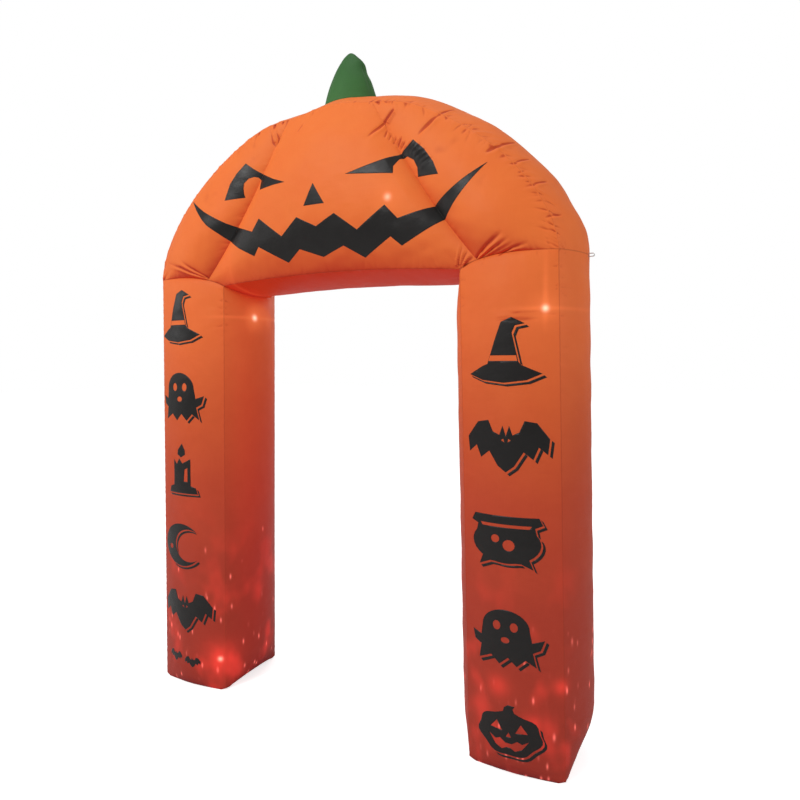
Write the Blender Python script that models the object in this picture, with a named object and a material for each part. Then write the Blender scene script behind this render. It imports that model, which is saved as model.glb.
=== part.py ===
"""An inflatable pumpkin arch for a doorway or a path, blown up by a fan.

The envelope is sewn from cloth panels: four sides and a base to each leg, and a front, a back, a strip over
the top and a soffit to the head. Cloth webs inside draw it in at the shoulders and along two creases. The
frame has X to the right as seen from the front, -Y to the front and Z up, with the origin on the floor.
"""

import math

import bmesh
import bpy
from mathutils import Matrix, Vector

# Envelope
OPENING_HEIGHT = 1.800
SHOULDER_DROP = 0.045
HEAD_RISE = 0.664
STEM_RISE = 0.234
OPENING_HALF_WIDTH = 0.546
LEG_WIDTH = 0.357
SEAM_DEPTH = 0.353
LEG_SPLAY = 0.034
CLOTH_WALL = 0.0012
SEAM_GAP = 0.0003
SHAFT_GAP = 0.00008
CUT_OVERRUN = 0.150
SIDE_BULGE = 0.066
FACE_BULGE = 0.045
SIDE_LOBE_BULGE = 0.048
MIDDLE_LOBE_BULGE = 0.075
FOOT_ROUND = 0.10
SHOULDER_ROUND = 0.16
SOFFIT_RISE = 0.025
SOFFIT_SAG = 0.014
LINTEL_SAG = 0.030
LINTEL_LEAN = 0.020
FOOT_SHARE = 0.30
SHOULDER_SHARE = 0.60
HEAD_SQUARENESS_SHARE = 1.66
PILLOW_SHARE = 0.90

# Creases and webs inside the head
CREASE_TOP_X = 0.190
CREASE_BOW = 0.026
CREASE_FOOT_SHARE = 0.8
WEB_CLEARANCE = 0.0005
VENT_RADIUS = 0.045
VENT_SPACING = 0.170
VENT_SHARE = 0.45

# Stem
STEM_RADIUS = 0.115
STEM_SEAT = 0.0012
STEM_VENT_RADIUS = 0.030
STEM_SHARES = ((0, 1), (0.2, 0.89), (0.4, 0.77), (0.6, 0.62), (0.8, 0.40), (0.93, 0.21))

# Printed face
PRINT_WALL = 0.0005
FACE_CENTRE_SHARE = 0.384
FACE_HEIGHT_SHARE = 0.994
FACE_WIDTH_SHARE = 0.731
PRINT_REACH = 0.30

# Fan unit in the back of the right leg
FAN_HEIGHT = 0.300
FAN_SEAT_MARGIN = 0.013
FAN_SEAT_REACH = 0.120
FAN_BLEND = 0.060
FAN_RADIUS = 0.078
FAN_WALL = 0.005
FAN_DEPTH = 0.075
FLANGE_RADIUS = 0.094
FLANGE_WALL = 0.004
GUARD_WALL = 0.003
GUARD_HUB_RADIUS = 0.016
GUARD_RING_WIDTH = 0.003
GUARD_SPOKE_WIDTH = 0.003
GUARD_SPOKES = 6
MOTOR_RADIUS = 0.026
MOTOR_LENGTH = 0.034
MOTOR_ROUND = 0.003
BORE_DEPTH = 0.010
FAN_SHAFT_RADIUS = 0.0020
HUB_RADIUS = 0.022
HUB_LENGTH = 0.020
HUB_ROUND = 0.004
RUNNING_GAP = 0.0025
BLADE_TIP_GAP = 0.005
BLADE_CHORD = 0.026
BLADE_WALL = 0.0018
BLADE_ROOT_SINK = 0.002
BLADE_ROOT_TURN = 0.70
BLADE_TIP_TURN = 0.42
BLADE_ROOT_SHARE = 0.75
BLADE_COUNT = 7
BRACKET_WALL = 0.003
BRACKET_RING_WIDTH = 0.004
BRACKET_HUB_RADIUS = 0.018
BRACKET_ARM_WIDTH = 0.008
BRACKET_ARMS = 3

# Low-voltage inlet under the fan flange
INLET_WIDTH = 0.022
INLET_DEPTH = 0.014
INLET_HEIGHT = 0.018
INLET_BORE_RADIUS = 0.0045
INLET_BORE_DEPTH = 0.012
INLET_PIN_RADIUS = 0.0011
INLET_PIN_DROP = 0.0055
SMALL_BEVEL = 0.0012

# Lamps hung inside
HOLDER_WIDTH = 0.022
HOLDER_DEPTH = 0.014
HOLDER_LENGTH = 0.046
DOME_RADIUS = 0.009
DOME_HEIGHT = 0.013
HOLDER_BEVEL = 0.003
RIGHT_LAMP_SHARE = 0.241
RIGHT_LAMP_DROP = 0.182
LEFT_LAMP_SHARE = 0.849
LEFT_LAMP_Y = 0.064
LEFT_LAMP_DROP = 0.167
HEAD_LAMP_X = 0.166
HEAD_LAMP_SHARE = 0.443
LEAD_RADIUS = 0.0022
LEAD_RUN = 0.030
LEAD_SHARE = 0.75
TIE_RADIUS = 0.0055
TIE_WALL = 0.0015
TIE_WIDTH = 0.010
TIE_REACH = 0.030
TIE_HEIGHT = 0.950
TIE_TURN = 5 * math.pi / 3

# Spot lamps in the feet
SPOT_RADIUS = 0.046
SPOT_FOOT_RADIUS = 0.056
SPOT_HEIGHT = 0.042
SPOT_WALL = 0.003
SPOT_LEDGE = 0.003
SPOT_LEDGE_DROP = 0.008
SPOT_MOTOR_RADIUS = 0.020
SPOT_MOTOR_HEIGHT = 0.018
SPOT_BOSS_RADIUS = 0.004
SPOT_BOSS_HEIGHT = 0.004
SPOT_SHAFT_RADIUS = 0.0015
BOARD_WALL = 0.0016
BOARD_HOLE_RADIUS = 0.008
LED_RADIUS = 0.004
LED_SINK = 0.0008
LED_PLACE_RADIUS = 0.024
LED_COUNT = 3
SPOT_BOSS_SINK = 0.024
SPOT_LEAD_HEIGHT = 0.016
SPOT_DOME_RADIUS = 0.045
SPOT_DOME_WALL = 0.002
SPOT_DOME_FACETS = 14

# Zip in the back of the left leg
ZIP_FOOT_HEIGHT = 0.180
ZIP_LENGTH = 0.360
TAPE_WIDTH = 0.028
TAPE_WALL = 0.0008
CHAIN_WIDTH = 0.006
CHAIN_WALL = 0.0018
STOP_WIDTH = 0.009
STOP_WALL = 0.0026
STOP_LENGTH = 0.004
SLIDER_WIDTH = 0.0116
SLIDER_WALL = 0.0042
SLIDER_LENGTH = 0.014
SLIDER_PLACE = 0.345
SLIT_WIDTH = 0.008
BRIDGE_WIDTH = 0.0090
BRIDGE_RISE = 0.0042
BRIDGE_BAR = 0.0015
BRIDGE_LENGTH = 0.0016
EYE_RADIUS = 0.0026
EYE_BORE_RADIUS = 0.0014
PULL_WIDTH = 0.0050
PULL_WALL = 0.0014
PULL_LENGTH = 0.028

# Tether loops at the shoulders
LOOP_REACH = 0.020
LOOP_HEIGHT = 0.011
LOOP_WALL = 0.0015
LOOP_WIDTH = 0.015

# Fineness
WELD = 0.00001
LEG_COLUMNS = 10
DEPTH_COLUMNS = 8
CREASE_ROWS = 8
SIDE_ARC_STEPS = 11
SOFFIT_STEPS = 8
ROUND_STEPS = 32
SMALL_STEPS = 16
ARC_STEPS = 4
BEVEL_STEPS = 2
PLATE_STEPS = 4
BLADE_STEPS = 4
LEAD_STEPS = 5
LEAD_SIDES = 8

# Sizes that follow from the ones above
HALF_DEPTH = SEAM_DEPTH / 2
OUTER_HALF_WIDTH = OPENING_HALF_WIDTH + LEG_WIDTH
SHOULDER_HEIGHT = OPENING_HEIGHT + SHOULDER_DROP
CROWN_HEIGHT = SHOULDER_HEIGHT + HEAD_RISE
ARCH_HEIGHT = CROWN_HEIGHT + STEM_RISE
WEB_INSET = CLOTH_WALL + WEB_CLEARANCE
FAN_BORE = FAN_RADIUS - FAN_WALL
FAN_CLEAR_SHARE = 1 / 2 - (FLANGE_RADIUS + FAN_SEAT_MARGIN) / LEG_WIDTH
FAN_COLUMN_SHARE = math.floor(FAN_CLEAR_SHARE * LEG_COLUMNS) / LEG_COLUMNS
FAN_SEAT_BULGE = 4 * FACE_BULGE * FAN_COLUMN_SHARE * (1 - FAN_COLUMN_SHARE)
FAN_SEAT = HALF_DEPTH + FAN_SEAT_BULGE

LEFT, RIGHT = -1, 1
FRONT, BACK = -1, 1
ORANGE = (0.80, 0.16, 0.035)
BLACK = (0.012, 0.011, 0.012)
GREEN = (0.045, 0.20, 0.05)
GREY = (0.05, 0.05, 0.055)
STEEL = (0.55, 0.55, 0.56)
WHITE = (0.75, 0.76, 0.78)
CIRCUIT = (0.03, 0.16, 0.07)


def clear_scene():
    for item in list(bpy.data.objects):
        bpy.data.objects.remove(item)


def finish(name, colour, roughness=0.5, metallic=0.0):
    material = bpy.data.materials.new(name + "_finish")
    material.use_nodes = True
    shader = material.node_tree.nodes["Principled BSDF"]
    shader.inputs["Base Color"].default_value = (*colour, 1)
    shader.inputs["Roughness"].default_value = roughness
    shader.inputs["Metallic"].default_value = metallic
    return material


def add_piece(name, bm, look, place=None):
    """Turns a finished bmesh into a named object at its place."""
    bmesh.ops.recalc_face_normals(bm, faces=bm.faces[:])
    mesh = bpy.data.meshes.new(name)
    bm.to_mesh(mesh)
    bm.free()
    piece = bpy.data.objects.new(name, mesh)
    bpy.context.collection.objects.link(piece)
    if place is not None:
        piece.matrix_world = place
    mesh.materials.append(look)
    mesh.shade_smooth()
    mesh.set_sharp_from_angle(angle=math.radians(30))
    return piece


def boolean(piece, other, operation, crosses_itself=False):
    """Cuts, joins or trims a piece with a hidden guide shape."""
    other.hide_render = True
    other.display_type = "WIRE"
    modifier = piece.modifiers.new(other.name, "BOOLEAN")
    modifier.operation = operation
    modifier.solver = "EXACT"
    modifier.use_self = crosses_itself
    modifier.object = other


# Shapes for the hard pieces


def clear_of(radius, steps, gap=SEAM_GAP):
    """The radius of a bore with flat sides that clears a round piece by a gap."""
    return (radius + gap) / math.cos(math.pi / steps)


def inside(radius, steps):
    """The radius of a round piece that clears a bore with flat sides by a gap."""
    return radius * math.cos(math.pi / steps) - SEAM_GAP


def ring_of(bm, radius, height, steps):
    angles = [2 * math.pi * step / steps for step in range(steps)]
    return [bm.verts.new((radius * math.cos(a), radius * math.sin(a), height)) for a in angles]


def close_rings(bm, low, high):
    """Faces between two rings of points, one of which may be a single point."""
    for step in range(len(low)):
        after = (step + 1) % len(low)
        corners = list(dict.fromkeys((low[step], low[after], high[after], high[step])))
        if len(corners) > 2:
            bm.faces.new(corners)


def turned_mesh(loop, steps):
    """A closed line of (radius, height) points turned round Z."""
    bm = bmesh.new()
    rings = []
    for radius, height in loop:
        if radius:
            rings.append(ring_of(bm, radius, height, steps))
        else:
            rings.append([bm.verts.new((0, 0, height))] * steps)
    for low, high in zip(rings, rings[1:] + rings[:1]):
        close_rings(bm, low, high)
    return bm


def turned(name, loop, steps, look, place=None):
    return add_piece(name, turned_mesh(loop, steps), look, place)


def quarter(radius, height, rise):
    """Points of a quarter round, from its rim at a height up to just before its top."""
    turns = [math.pi / 2 * share for share in shares(ARC_STEPS)[:-1]]
    return [(radius * math.cos(turn), height + rise * math.sin(turn)) for turn in turns]


def block(name, size, look, place=None, middle=(0, 0, 0), bevel=0):
    bm = bmesh.new()
    bmesh.ops.create_cube(bm, size=1, matrix=Matrix.Translation(middle) @ Matrix.Diagonal((*size, 1)))
    if bevel:
        bmesh.ops.bevel(
            bm, geom=bm.edges[:], offset=bevel, segments=BEVEL_STEPS, affect="EDGES", profile=0.5
        )
    return add_piece(name, bm, look, place)


def raised(bm, faces, way):
    """Gives flat faces their thickness along a way."""
    made = bmesh.ops.extrude_face_region(bm, geom=faces)
    bmesh.ops.translate(
        bm, vec=way, verts=[item for item in made["geom"] if isinstance(item, bmesh.types.BMVert)]
    )


def polar_plate(name, radii, spokes, spoke_width, solid_bands, wall, look, place):
    """A flat round plate: its hub and some of its bands are solid, the others hold only spokes."""
    bm = bmesh.new()
    span = 2 * math.pi / spokes
    rings = []
    for radius in radii:
        half = math.asin(spoke_width / 2 / radius)
        ring = []
        for spoke in range(spokes):
            for share in shares(PLATE_STEPS):
                angle = spoke * span + half + (span - 2 * half) * share
                ring.append(bm.verts.new((radius * math.cos(angle), radius * math.sin(angle), 0)))
        rings.append(ring)
    bm.faces.new(rings[0])
    for band, (low, high) in enumerate(zip(rings, rings[1:])):
        for step in range(len(low)):
            if band in solid_bands or (step + 1) % (PLATE_STEPS + 1) == 0:
                after = (step + 1) % len(low)
                bm.faces.new((low[step], low[after], high[after], high[step]))
    raised(bm, bm.faces[:], (0, 0, wall))
    return add_piece(name, bm, look, place)


def rounded(points):
    """A smooth line through points."""
    ways = []
    for number in range(len(points)):
        before, after = points[max(number - 1, 0)], points[min(number + 1, len(points) - 1)]
        ways.append((after - before).normalized())
    line = []
    for start, end, leave, arrive in zip(points, points[1:], ways, ways[1:]):
        reach = (end - start).length
        for share in shares(LEAD_STEPS)[:-1]:
            blend = share * share * (3 - 2 * share)
            point = start.lerp(end, blend)
            point = point + leave * reach * share * (1 - share) ** 2
            line.append(point - arrive * reach * share * share * (1 - share))
    return line + [points[-1]]


def lead(name, points):
    """A round lamp lead along a smooth line."""
    line = rounded([Vector(point) for point in points])
    bm = bmesh.new()
    across = (line[1] - line[0]).orthogonal()
    rings = []
    for number, point in enumerate(line):
        before, after = line[max(number - 1, 0)], line[min(number + 1, len(line) - 1)]
        along = (after - before).normalized()
        across = (across - along * across.dot(along)).normalized()
        up = along.cross(across)
        ring = []
        for step in range(LEAD_SIDES):
            angle = 2 * math.pi * step / LEAD_SIDES
            spot = across * math.cos(angle) + up * math.sin(angle)
            ring.append(bm.verts.new(point + spot * LEAD_RADIUS))
        rings.append(ring)
    for low, high in zip(rings, rings[1:]):
        close_rings(bm, low, high)
    bm.faces.new(rings[0])
    bm.faces.new(rings[-1])
    return add_piece(name, bm, RUBBER)


def ribbon(name, line, wall, width, look, place):
    """A band of tape along an open line in its local XZ plane, with its width along Y."""
    bm = bmesh.new()
    edges = []
    for number, point in enumerate(line):
        before, after = line[max(number - 1, 0)], line[min(number + 1, len(line) - 1)]
        along = (after - before).normalized()
        across = Vector((-along.z, 0, along.x)) * wall / 2
        low = Vector((0, -width / 2, 0))
        corners = (point + across + low, point - across + low, point - across - low, point + across - low)
        edges.append([bm.verts.new(corner) for corner in corners])
    for low, high in zip(edges, edges[1:]):
        close_rings(bm, low, high)
    bm.faces.new(edges[0])
    bm.faces.new(edges[-1])
    return add_piece(name, bm, look, place)


# Outline of the envelope


def swell(share):
    """A shallow arc over a span, 0 at both ends and 1 in the middle."""
    return 4 * share * (1 - share)


def fullness(height, top, top_share):
    """How much of its bulge a leg panel has at a height: drawn in at the foot and at the top seam."""
    low = max(0, 1 - height / FOOT_ROUND)
    high = max(0, 1 - (top - height) / SHOULDER_ROUND)
    at_foot = FOOT_SHARE + (1 - FOOT_SHARE) * math.sqrt(1 - low**2)
    at_top = top_share + (1 - top_share) * math.sqrt(1 - high**2)
    return at_foot * at_top


def splay(height):
    return LEG_SPLAY * max(0, 1 - height / OPENING_HEIGHT)


def leg_x(side, across, height):
    """Across a leg, from its outer seam at 0 to its inner seam at 1."""
    return side * (OUTER_HALF_WIDTH - LEG_WIDTH * across + splay(height))


def shoulder_height(across):
    return SHOULDER_HEIGHT - SHOULDER_DROP * across**4


def shoulder_point(side, facing, across):
    bulge = SHOULDER_SHARE * FACE_BULGE * swell(across)
    y = facing * (HALF_DEPTH + bulge)
    return Vector((leg_x(side, across, OPENING_HEIGHT), y, shoulder_height(across)))


def lintel_point(side, along):
    """The seam between a leg's inner side and the soffit, which both panels press into the opening."""
    x = OPENING_HALF_WIDTH - LINTEL_LEAN * swell(along)
    y = SEAM_DEPTH * along - HALF_DEPTH
    return Vector((side * x, y, OPENING_HEIGHT - LINTEL_SAG * swell(along)))


def arc_point(turn):
    """The head's seam curve, from the right shoulder at 0 over the crown to the left one at 1."""
    cosine, sine = math.cos(math.pi * turn), math.sin(math.pi * turn)
    power = 2 / HEAD_SQUARENESS_SHARE
    x = OUTER_HALF_WIDTH * math.copysign(abs(cosine) ** power, cosine)
    return Vector((x, 0, SHOULDER_HEIGHT + HEAD_RISE * max(0, sine) ** power))


def arc_normal(turn):
    point = arc_point(turn)
    power = HEAD_SQUARENESS_SHARE - 1
    x = abs(point.x / OUTER_HALF_WIDTH) ** power / OUTER_HALF_WIDTH
    z = max(0, (point.z - SHOULDER_HEIGHT) / HEAD_RISE) ** power / HEAD_RISE
    return Vector((math.copysign(x, point.x), 0, z)).normalized()


CREASE_TURN = math.acos((CREASE_TOP_X / OUTER_HALF_WIDTH) ** (HEAD_SQUARENESS_SHARE / 2)) / math.pi


def crease_point(side, facing, share):
    """A crease in the head's face, from the shoulder seam at 0 to the seam over the top at 1."""
    foot = shoulder_point(side, facing, CREASE_FOOT_SHARE)
    top = arc_point(CREASE_TURN)
    top = Vector((side * top.x, facing * HALF_DEPTH, top.z))
    run = top - foot
    inward = Vector((-side * abs(run.z), 0, -abs(run.x))).normalized()
    return foot + run * share + inward * CREASE_BOW * swell(share)


def soffit_height(x):
    return OPENING_HEIGHT + SOFFIT_RISE * (1 - (x / OPENING_HALF_WIDTH) ** 2)


def strip_bulge(along):
    return SIDE_BULGE * swell(along)


# Cloth sheets


class Sheet:
    """An open sheet of cloth, whose edge points know which panels they are sewn to."""

    def __init__(self):
        self.bm = bmesh.new()
        self.inward = self.bm.verts.layers.float_vector.new("inward")
        self.found = {}
        self.normals = {}
        self.shifts = {}

    def vertex(self, point):
        key = tuple(round(value / WELD) for value in point)
        if key not in self.found:
            self.found[key] = self.bm.verts.new(point)
        return self.found[key]

    def patch(self, grid, outward):
        """Adds a grid of points as faces that look outward."""
        rows = [[self.vertex(point) for point in row] for row in grid]
        made = []
        for low, high in zip(rows, rows[1:]):
            for a, b, c, d in zip(low, low[1:], high[1:], high):
                corners = list(dict.fromkeys((a, b, c, d)))
                if len(corners) > 2:
                    made.append(self.bm.faces.new(corners))
        middle = made[len(made) // 2]
        middle.normal_update()
        if middle.normal.dot(outward) < 0:
            bmesh.ops.reverse_faces(self.bm, faces=made)

    def sew(self, points, own, other, into):
        """Marks an edge: the outward normals of the panels that meet there, and the way into this one."""
        for point, normal, step in zip(points, other, into):
            vertex = self.vertex(point)
            for kept in (own, normal):
                self.keep(self.normals, vertex, kept)
            self.keep(self.shifts, vertex, step.normalized() if step.length else step)

    def keep(self, table, vertex, value):
        known = table.setdefault(vertex, [])
        if all((value - old).length > 0.01 for old in known):
            known.append(value)

    def solid(self, name, look, lift=0, wall=CLOTH_WALL):
        """Gives the sheet its thickness, mitred at the seams, and makes it a piece."""
        bmesh.ops.triangulate(self.bm, faces=self.bm.faces[:], quad_method="SHORT_EDGE")
        self.bm.normal_update()
        for vertex in self.bm.verts:
            normal = sum(self.normals.get(vertex, [vertex.normal]), Vector())
            vertex[self.inward] = -normal * wall
            vertex.co += sum(self.shifts.get(vertex, []), Vector()) * SEAM_GAP / 2
            vertex.co += normal * lift
        made = bmesh.ops.extrude_face_region(self.bm, geom=self.bm.faces[:])
        for item in made["geom"]:
            if isinstance(item, bmesh.types.BMVert):
                item.co += item[self.inward]
        return add_piece(name, self.bm, look)


def same(vector, count):
    return [vector] * count


def shares(steps):
    return [step / steps for step in range(steps + 1)]


# Leg panels

LEG_ROW_SHARES = (0, 0.006, 0.018, 0.036, 0.058, 0.45, 0.89, 0.93, 0.965, 0.988, 1)
FAN_ROW_SHARES = (-1.393, -1.17775, -0.9701875, -0.04, 0.9516875, 1.19, 1.4975)
LOW_ROWS = 5


def fan_rows():
    """The rows of the panel that holds the fan, with more of them round its flange."""
    held = [(FAN_HEIGHT + FAN_SEAT_REACH * share) / SHOULDER_HEIGHT for share in FAN_ROW_SHARES]
    return [*LEG_ROW_SHARES[:LOW_ROWS], *held, *LEG_ROW_SHARES[LOW_ROWS:]]


def fan_seat(bulge, height):
    """The rigid fan flange holds the cloth flat round itself."""
    away = max(0, abs(height - FAN_HEIGHT) - FAN_SEAT_REACH) / FAN_BLEND
    held = min(bulge, FAN_SEAT_BULGE)
    return held + (bulge - held) * min(1, away)


def leg_face(side, facing):
    """A leg's front or back panel."""
    has_fan = side == RIGHT and facing == BACK
    sheet = Sheet()
    grid = []
    for row in fan_rows() if has_fan else LEG_ROW_SHARES:
        line = []
        for across in shares(LEG_COLUMNS):
            top = shoulder_height(across)
            height = row * top
            bulge = FACE_BULGE * swell(across) * fullness(height, top, SHOULDER_SHARE)
            if has_fan:
                bulge = fan_seat(bulge, height)
            y = facing * (HALF_DEPTH + bulge)
            line.append(Vector((leg_x(side, across, height), y, height)))
        grid.append(line)
    out = Vector((0, facing, 0))
    sheet.patch(grid, out)
    rows = len(grid)
    for column, way in ((0, side), (-1, -side)):
        other = Vector((way, 0, 0))
        edge = [line[column] for line in grid]
        sheet.sew(edge, out, same(other, rows), same(out - other, rows))
    columns = len(grid[0])
    sheet.sew(grid[0], out, same(out, columns), same(Vector(), columns))
    sheet.sew(grid[-1], out, same(out, columns), same(Vector((0, 0, -1)), columns))
    return sheet


def leg_side(side, outer):
    """A leg's outer panel, or its inner one beside the opening."""
    way = side if outer else -side
    sheet = Sheet()
    grid = []
    for row in LEG_ROW_SHARES:
        line = []
        for along in shares(DEPTH_COLUMNS):
            if outer:
                top, top_share, across = SHOULDER_HEIGHT, 1, 0
            else:
                top, top_share, across = lintel_point(side, along).z, LINTEL_LEAN / SIDE_BULGE, 1
            height = row * top
            bulge = SIDE_BULGE * swell(along) * fullness(height, top, top_share)
            x = leg_x(side, across, height) + way * bulge
            line.append(Vector((x, SEAM_DEPTH * along - HALF_DEPTH, height)))
        grid.append(line)
    out = Vector((way, 0, 0))
    sheet.patch(grid, out)
    rows, columns = len(grid), len(grid[0])
    for column, facing in ((0, FRONT), (-1, BACK)):
        other = Vector((0, facing, 0))
        edge = [line[column] for line in grid]
        sheet.sew(edge, out, same(other, rows), same(out - other, rows))
    sheet.sew(grid[0], out, same(out, columns), same(Vector(), columns))
    if outer:
        sheet.sew(grid[-1], out, same(out, columns), same(Vector((0, 0, -1)), columns))
    else:
        down = Vector((0, 0, -1))
        sheet.sew(grid[-1], out, same(down, columns), same(down - out, columns))
        for line in (grid[-1][0], grid[-1][-1]):
            sheet.sew([line], out, [down], [down - out])
    return sheet


def leg_base(side):
    """The flat panel that a leg stands on, inside its four sides."""
    bm = bmesh.new()
    inset = CLOTH_WALL + SEAM_GAP
    loop = []
    for across in shares(LEG_COLUMNS)[:-1]:
        bulge = FOOT_SHARE * FACE_BULGE * swell(across)
        loop.append((across, -HALF_DEPTH - bulge, 0))
    for along in shares(DEPTH_COLUMNS)[:-1]:
        bulge = FOOT_SHARE * SIDE_BULGE * swell(along)
        loop.append((1, SEAM_DEPTH * along - HALF_DEPTH, -bulge))
    for across in shares(LEG_COLUMNS)[:-1]:
        bulge = FOOT_SHARE * FACE_BULGE * swell(across)
        loop.append((1 - across, HALF_DEPTH + bulge, 0))
    for along in shares(DEPTH_COLUMNS)[:-1]:
        bulge = FOOT_SHARE * SIDE_BULGE * swell(along)
        loop.append((0, HALF_DEPTH - SEAM_DEPTH * along, bulge))
    corners = []
    for across, y, bulge in loop:
        edge = 0
        if across in (0, 1):
            edge = inset if across else -inset
        x = leg_x(side, across, 0) + side * (bulge + edge)
        if abs(y) >= HALF_DEPTH - WELD:
            y -= math.copysign(inset, y)
        corners.append(bm.verts.new((x, y, 0)))
    face = bm.faces.new(corners)
    made = bmesh.ops.extrude_face_region(bm, geom=[face])
    bmesh.ops.translate(
        bm,
        vec=(0, 0, CLOTH_WALL),
        verts=[item for item in made["geom"] if isinstance(item, bmesh.types.BMVert)],
    )
    return bm


# Head panels


def side_turns(side):
    turns = [CREASE_TURN * share for share in shares(SIDE_ARC_STEPS)]
    return turns if side == RIGHT else [1 - turn for turn in turns]


def face_arc(turn, facing):
    point = arc_point(turn)
    point.y = facing * HALF_DEPTH
    return point


def side_lobe(side, facing):
    """A fan of lines from the foot of a crease out to the seam over the shoulder."""
    foot = crease_point(side, facing, 0)
    turns = side_turns(side)
    lines = []
    for share, turn in zip(shares(SIDE_ARC_STEPS), turns):
        line = []
        for reach in shares(CREASE_ROWS):
            straight = foot.lerp(face_arc(turn, facing), reach)
            seam = shoulder_point(side, facing, CREASE_FOOT_SHARE * (1 - reach))
            low = seam - foot.lerp(face_arc(turns[0], facing), reach)
            crease = crease_point(side, facing, reach)
            high = crease - foot.lerp(face_arc(turns[-1], facing), reach)
            bubble = SIDE_LOBE_BULGE * (swell(reach) * swell(share)) ** PILLOW_SHARE
            point = straight + low * (1 - share) + high * share
            line.append(point + Vector((0, facing * bubble, 0)))
        lines.append(line)
    return lines


def middle_bottom(facing):
    """The lower edge of the head's middle, from the right crease's foot to the left one's."""
    near = [CREASE_FOOT_SHARE, (CREASE_FOOT_SHARE + 1) / 2, 1]
    right = [shoulder_point(RIGHT, facing, across) for across in near]
    left = [shoulder_point(LEFT, facing, across) for across in reversed(near)]
    middle = []
    for share in shares(SOFFIT_STEPS)[1:-1]:
        x = OPENING_HALF_WIDTH * (1 - 2 * share)
        middle.append(Vector((x, facing * HALF_DEPTH, soffit_height(x))))
    return right + middle + left


def middle_turns():
    steps = len(middle_bottom(FRONT)) - 1
    return [CREASE_TURN + (1 - 2 * CREASE_TURN) * share for share in shares(steps)]


def middle_lobe(facing):
    """The head's middle, spread between its two creases, its lower edge and the seam over the top."""
    bottom = middle_bottom(facing)
    top = [face_arc(turn, facing) for turn in middle_turns()]
    rows = []
    for up in shares(CREASE_ROWS):
        right, left = (crease_point(side, facing, up) for side in (RIGHT, LEFT))
        row = []
        for share, low, high in zip(shares(len(bottom) - 1), bottom, top):
            point = low.lerp(high, up) + right.lerp(left, share)
            point -= bottom[0].lerp(top[0], up).lerp(bottom[-1].lerp(top[-1], up), share)
            bubble = MIDDLE_LOBE_BULGE * (swell(share) * swell(up)) ** PILLOW_SHARE
            row.append(point + Vector((0, facing * bubble, 0)))
        rows.append(row)
    return rows


def head_face(facing):
    """The head's front or back: one piece of cloth in three lobes."""
    sheet = Sheet()
    out = Vector((0, facing, 0))
    lobes = {side: side_lobe(side, facing) for side in (RIGHT, LEFT)}
    middle = middle_lobe(facing)
    for grid in (*lobes.values(), middle):
        sheet.patch(grid, out)
    arcs = [(side_turns(side), [line[-1] for line in lobes[side]]) for side in (RIGHT, LEFT)]
    arcs.append((middle_turns(), middle[-1]))
    for turns, edge in arcs:
        normals = [arc_normal(turn) for turn in turns]
        sheet.sew(edge, out, normals, [out - normal for normal in normals])
    up, down = Vector((0, 0, 1)), Vector((0, 0, -1))
    for side in (RIGHT, LEFT):
        edge = lobes[side][0]
        sheet.sew(edge, out, same(out, len(edge)), same(up, len(edge)))
        edge = middle[0][:3] if side == RIGHT else middle[0][-3:]
        sheet.sew(edge, out, same(out, len(edge)), same(up, len(edge)))
        corner = edge[-1] if side == RIGHT else edge[0]
        sheet.sew([corner], out, [Vector((-side, 0, 0))], [up])
    edge = middle[0][2:-2]
    sheet.sew(edge, out, same(down, len(edge)), same(out - down, len(edge)))
    return sheet


def head_strip():
    """The long strip over the head, from shoulder to shoulder."""
    sheet = Sheet()
    turns = side_turns(RIGHT)[:-1] + middle_turns() + list(reversed(side_turns(LEFT)))[1:]
    grid = []
    for turn in turns:
        point, normal = arc_point(turn), arc_normal(turn)
        line = []
        for along in shares(DEPTH_COLUMNS):
            place = point + normal * strip_bulge(along)
            place.y = SEAM_DEPTH * along - HALF_DEPTH
            line.append(place)
        grid.append(line)
    sheet.patch(grid, Vector((0, 0, 1)))
    normals = [arc_normal(turn) for turn in turns]
    for column, facing in ((0, FRONT), (-1, BACK)):
        other = Vector((0, facing, 0))
        for line, normal in zip(grid, normals):
            sheet.sew([line[column]], normal, [other], [normal - other])
    for line, side in ((grid[0], RIGHT), (grid[-1], LEFT)):
        out = Vector((side, 0, 0))
        sheet.sew(line, out, same(out, len(line)), same(Vector((0, 0, 1)), len(line)))
    return sheet


def head_soffit():
    """The panel over the walkway."""
    sheet = Sheet()
    grid = []
    for share in shares(SOFFIT_STEPS):
        x = OPENING_HALF_WIDTH * (1 - 2 * share)
        line = []
        for along in shares(DEPTH_COLUMNS):
            lean = LINTEL_LEAN * (1 - 2 * share) * swell(along)
            sag = (LINTEL_SAG + SOFFIT_SAG * swell(share)) * swell(along)
            y = SEAM_DEPTH * along - HALF_DEPTH
            line.append(Vector((x - lean, y, soffit_height(x) - sag)))
        grid.append(line)
    down = Vector((0, 0, -1))
    sheet.patch(grid, down)
    for column, facing in ((0, FRONT), (-1, BACK)):
        other = Vector((0, facing, 0))
        edge = [line[column] for line in grid]
        sheet.sew(edge, down, same(other, len(edge)), same(down - other, len(edge)))
    for line, side in ((grid[0], RIGHT), (grid[-1], LEFT)):
        other = Vector((-side, 0, 0))
        sheet.sew(line, down, same(other, len(line)), same(other - down, len(line)))
    return sheet


# Webs inside


def drawn_in(grid, inset):
    """A web's grid with its edge points moved in from the envelope."""
    last_row, last_column = len(grid) - 1, len(grid[0]) - 1
    moved = [list(line) for line in grid]
    for i, line in enumerate(grid):
        for j, point in enumerate(line):
            step = Vector()
            if i in (0, last_row):
                inner = grid[1][j] if i == 0 else grid[last_row - 1][j]
                step += (inner - point).normalized() * inset
            if j in (0, last_column):
                inner = line[1] if j == 0 else line[last_column - 1]
                step += (inner - point).normalized() * inset
            moved[i][j] = point + step
    return moved


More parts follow.
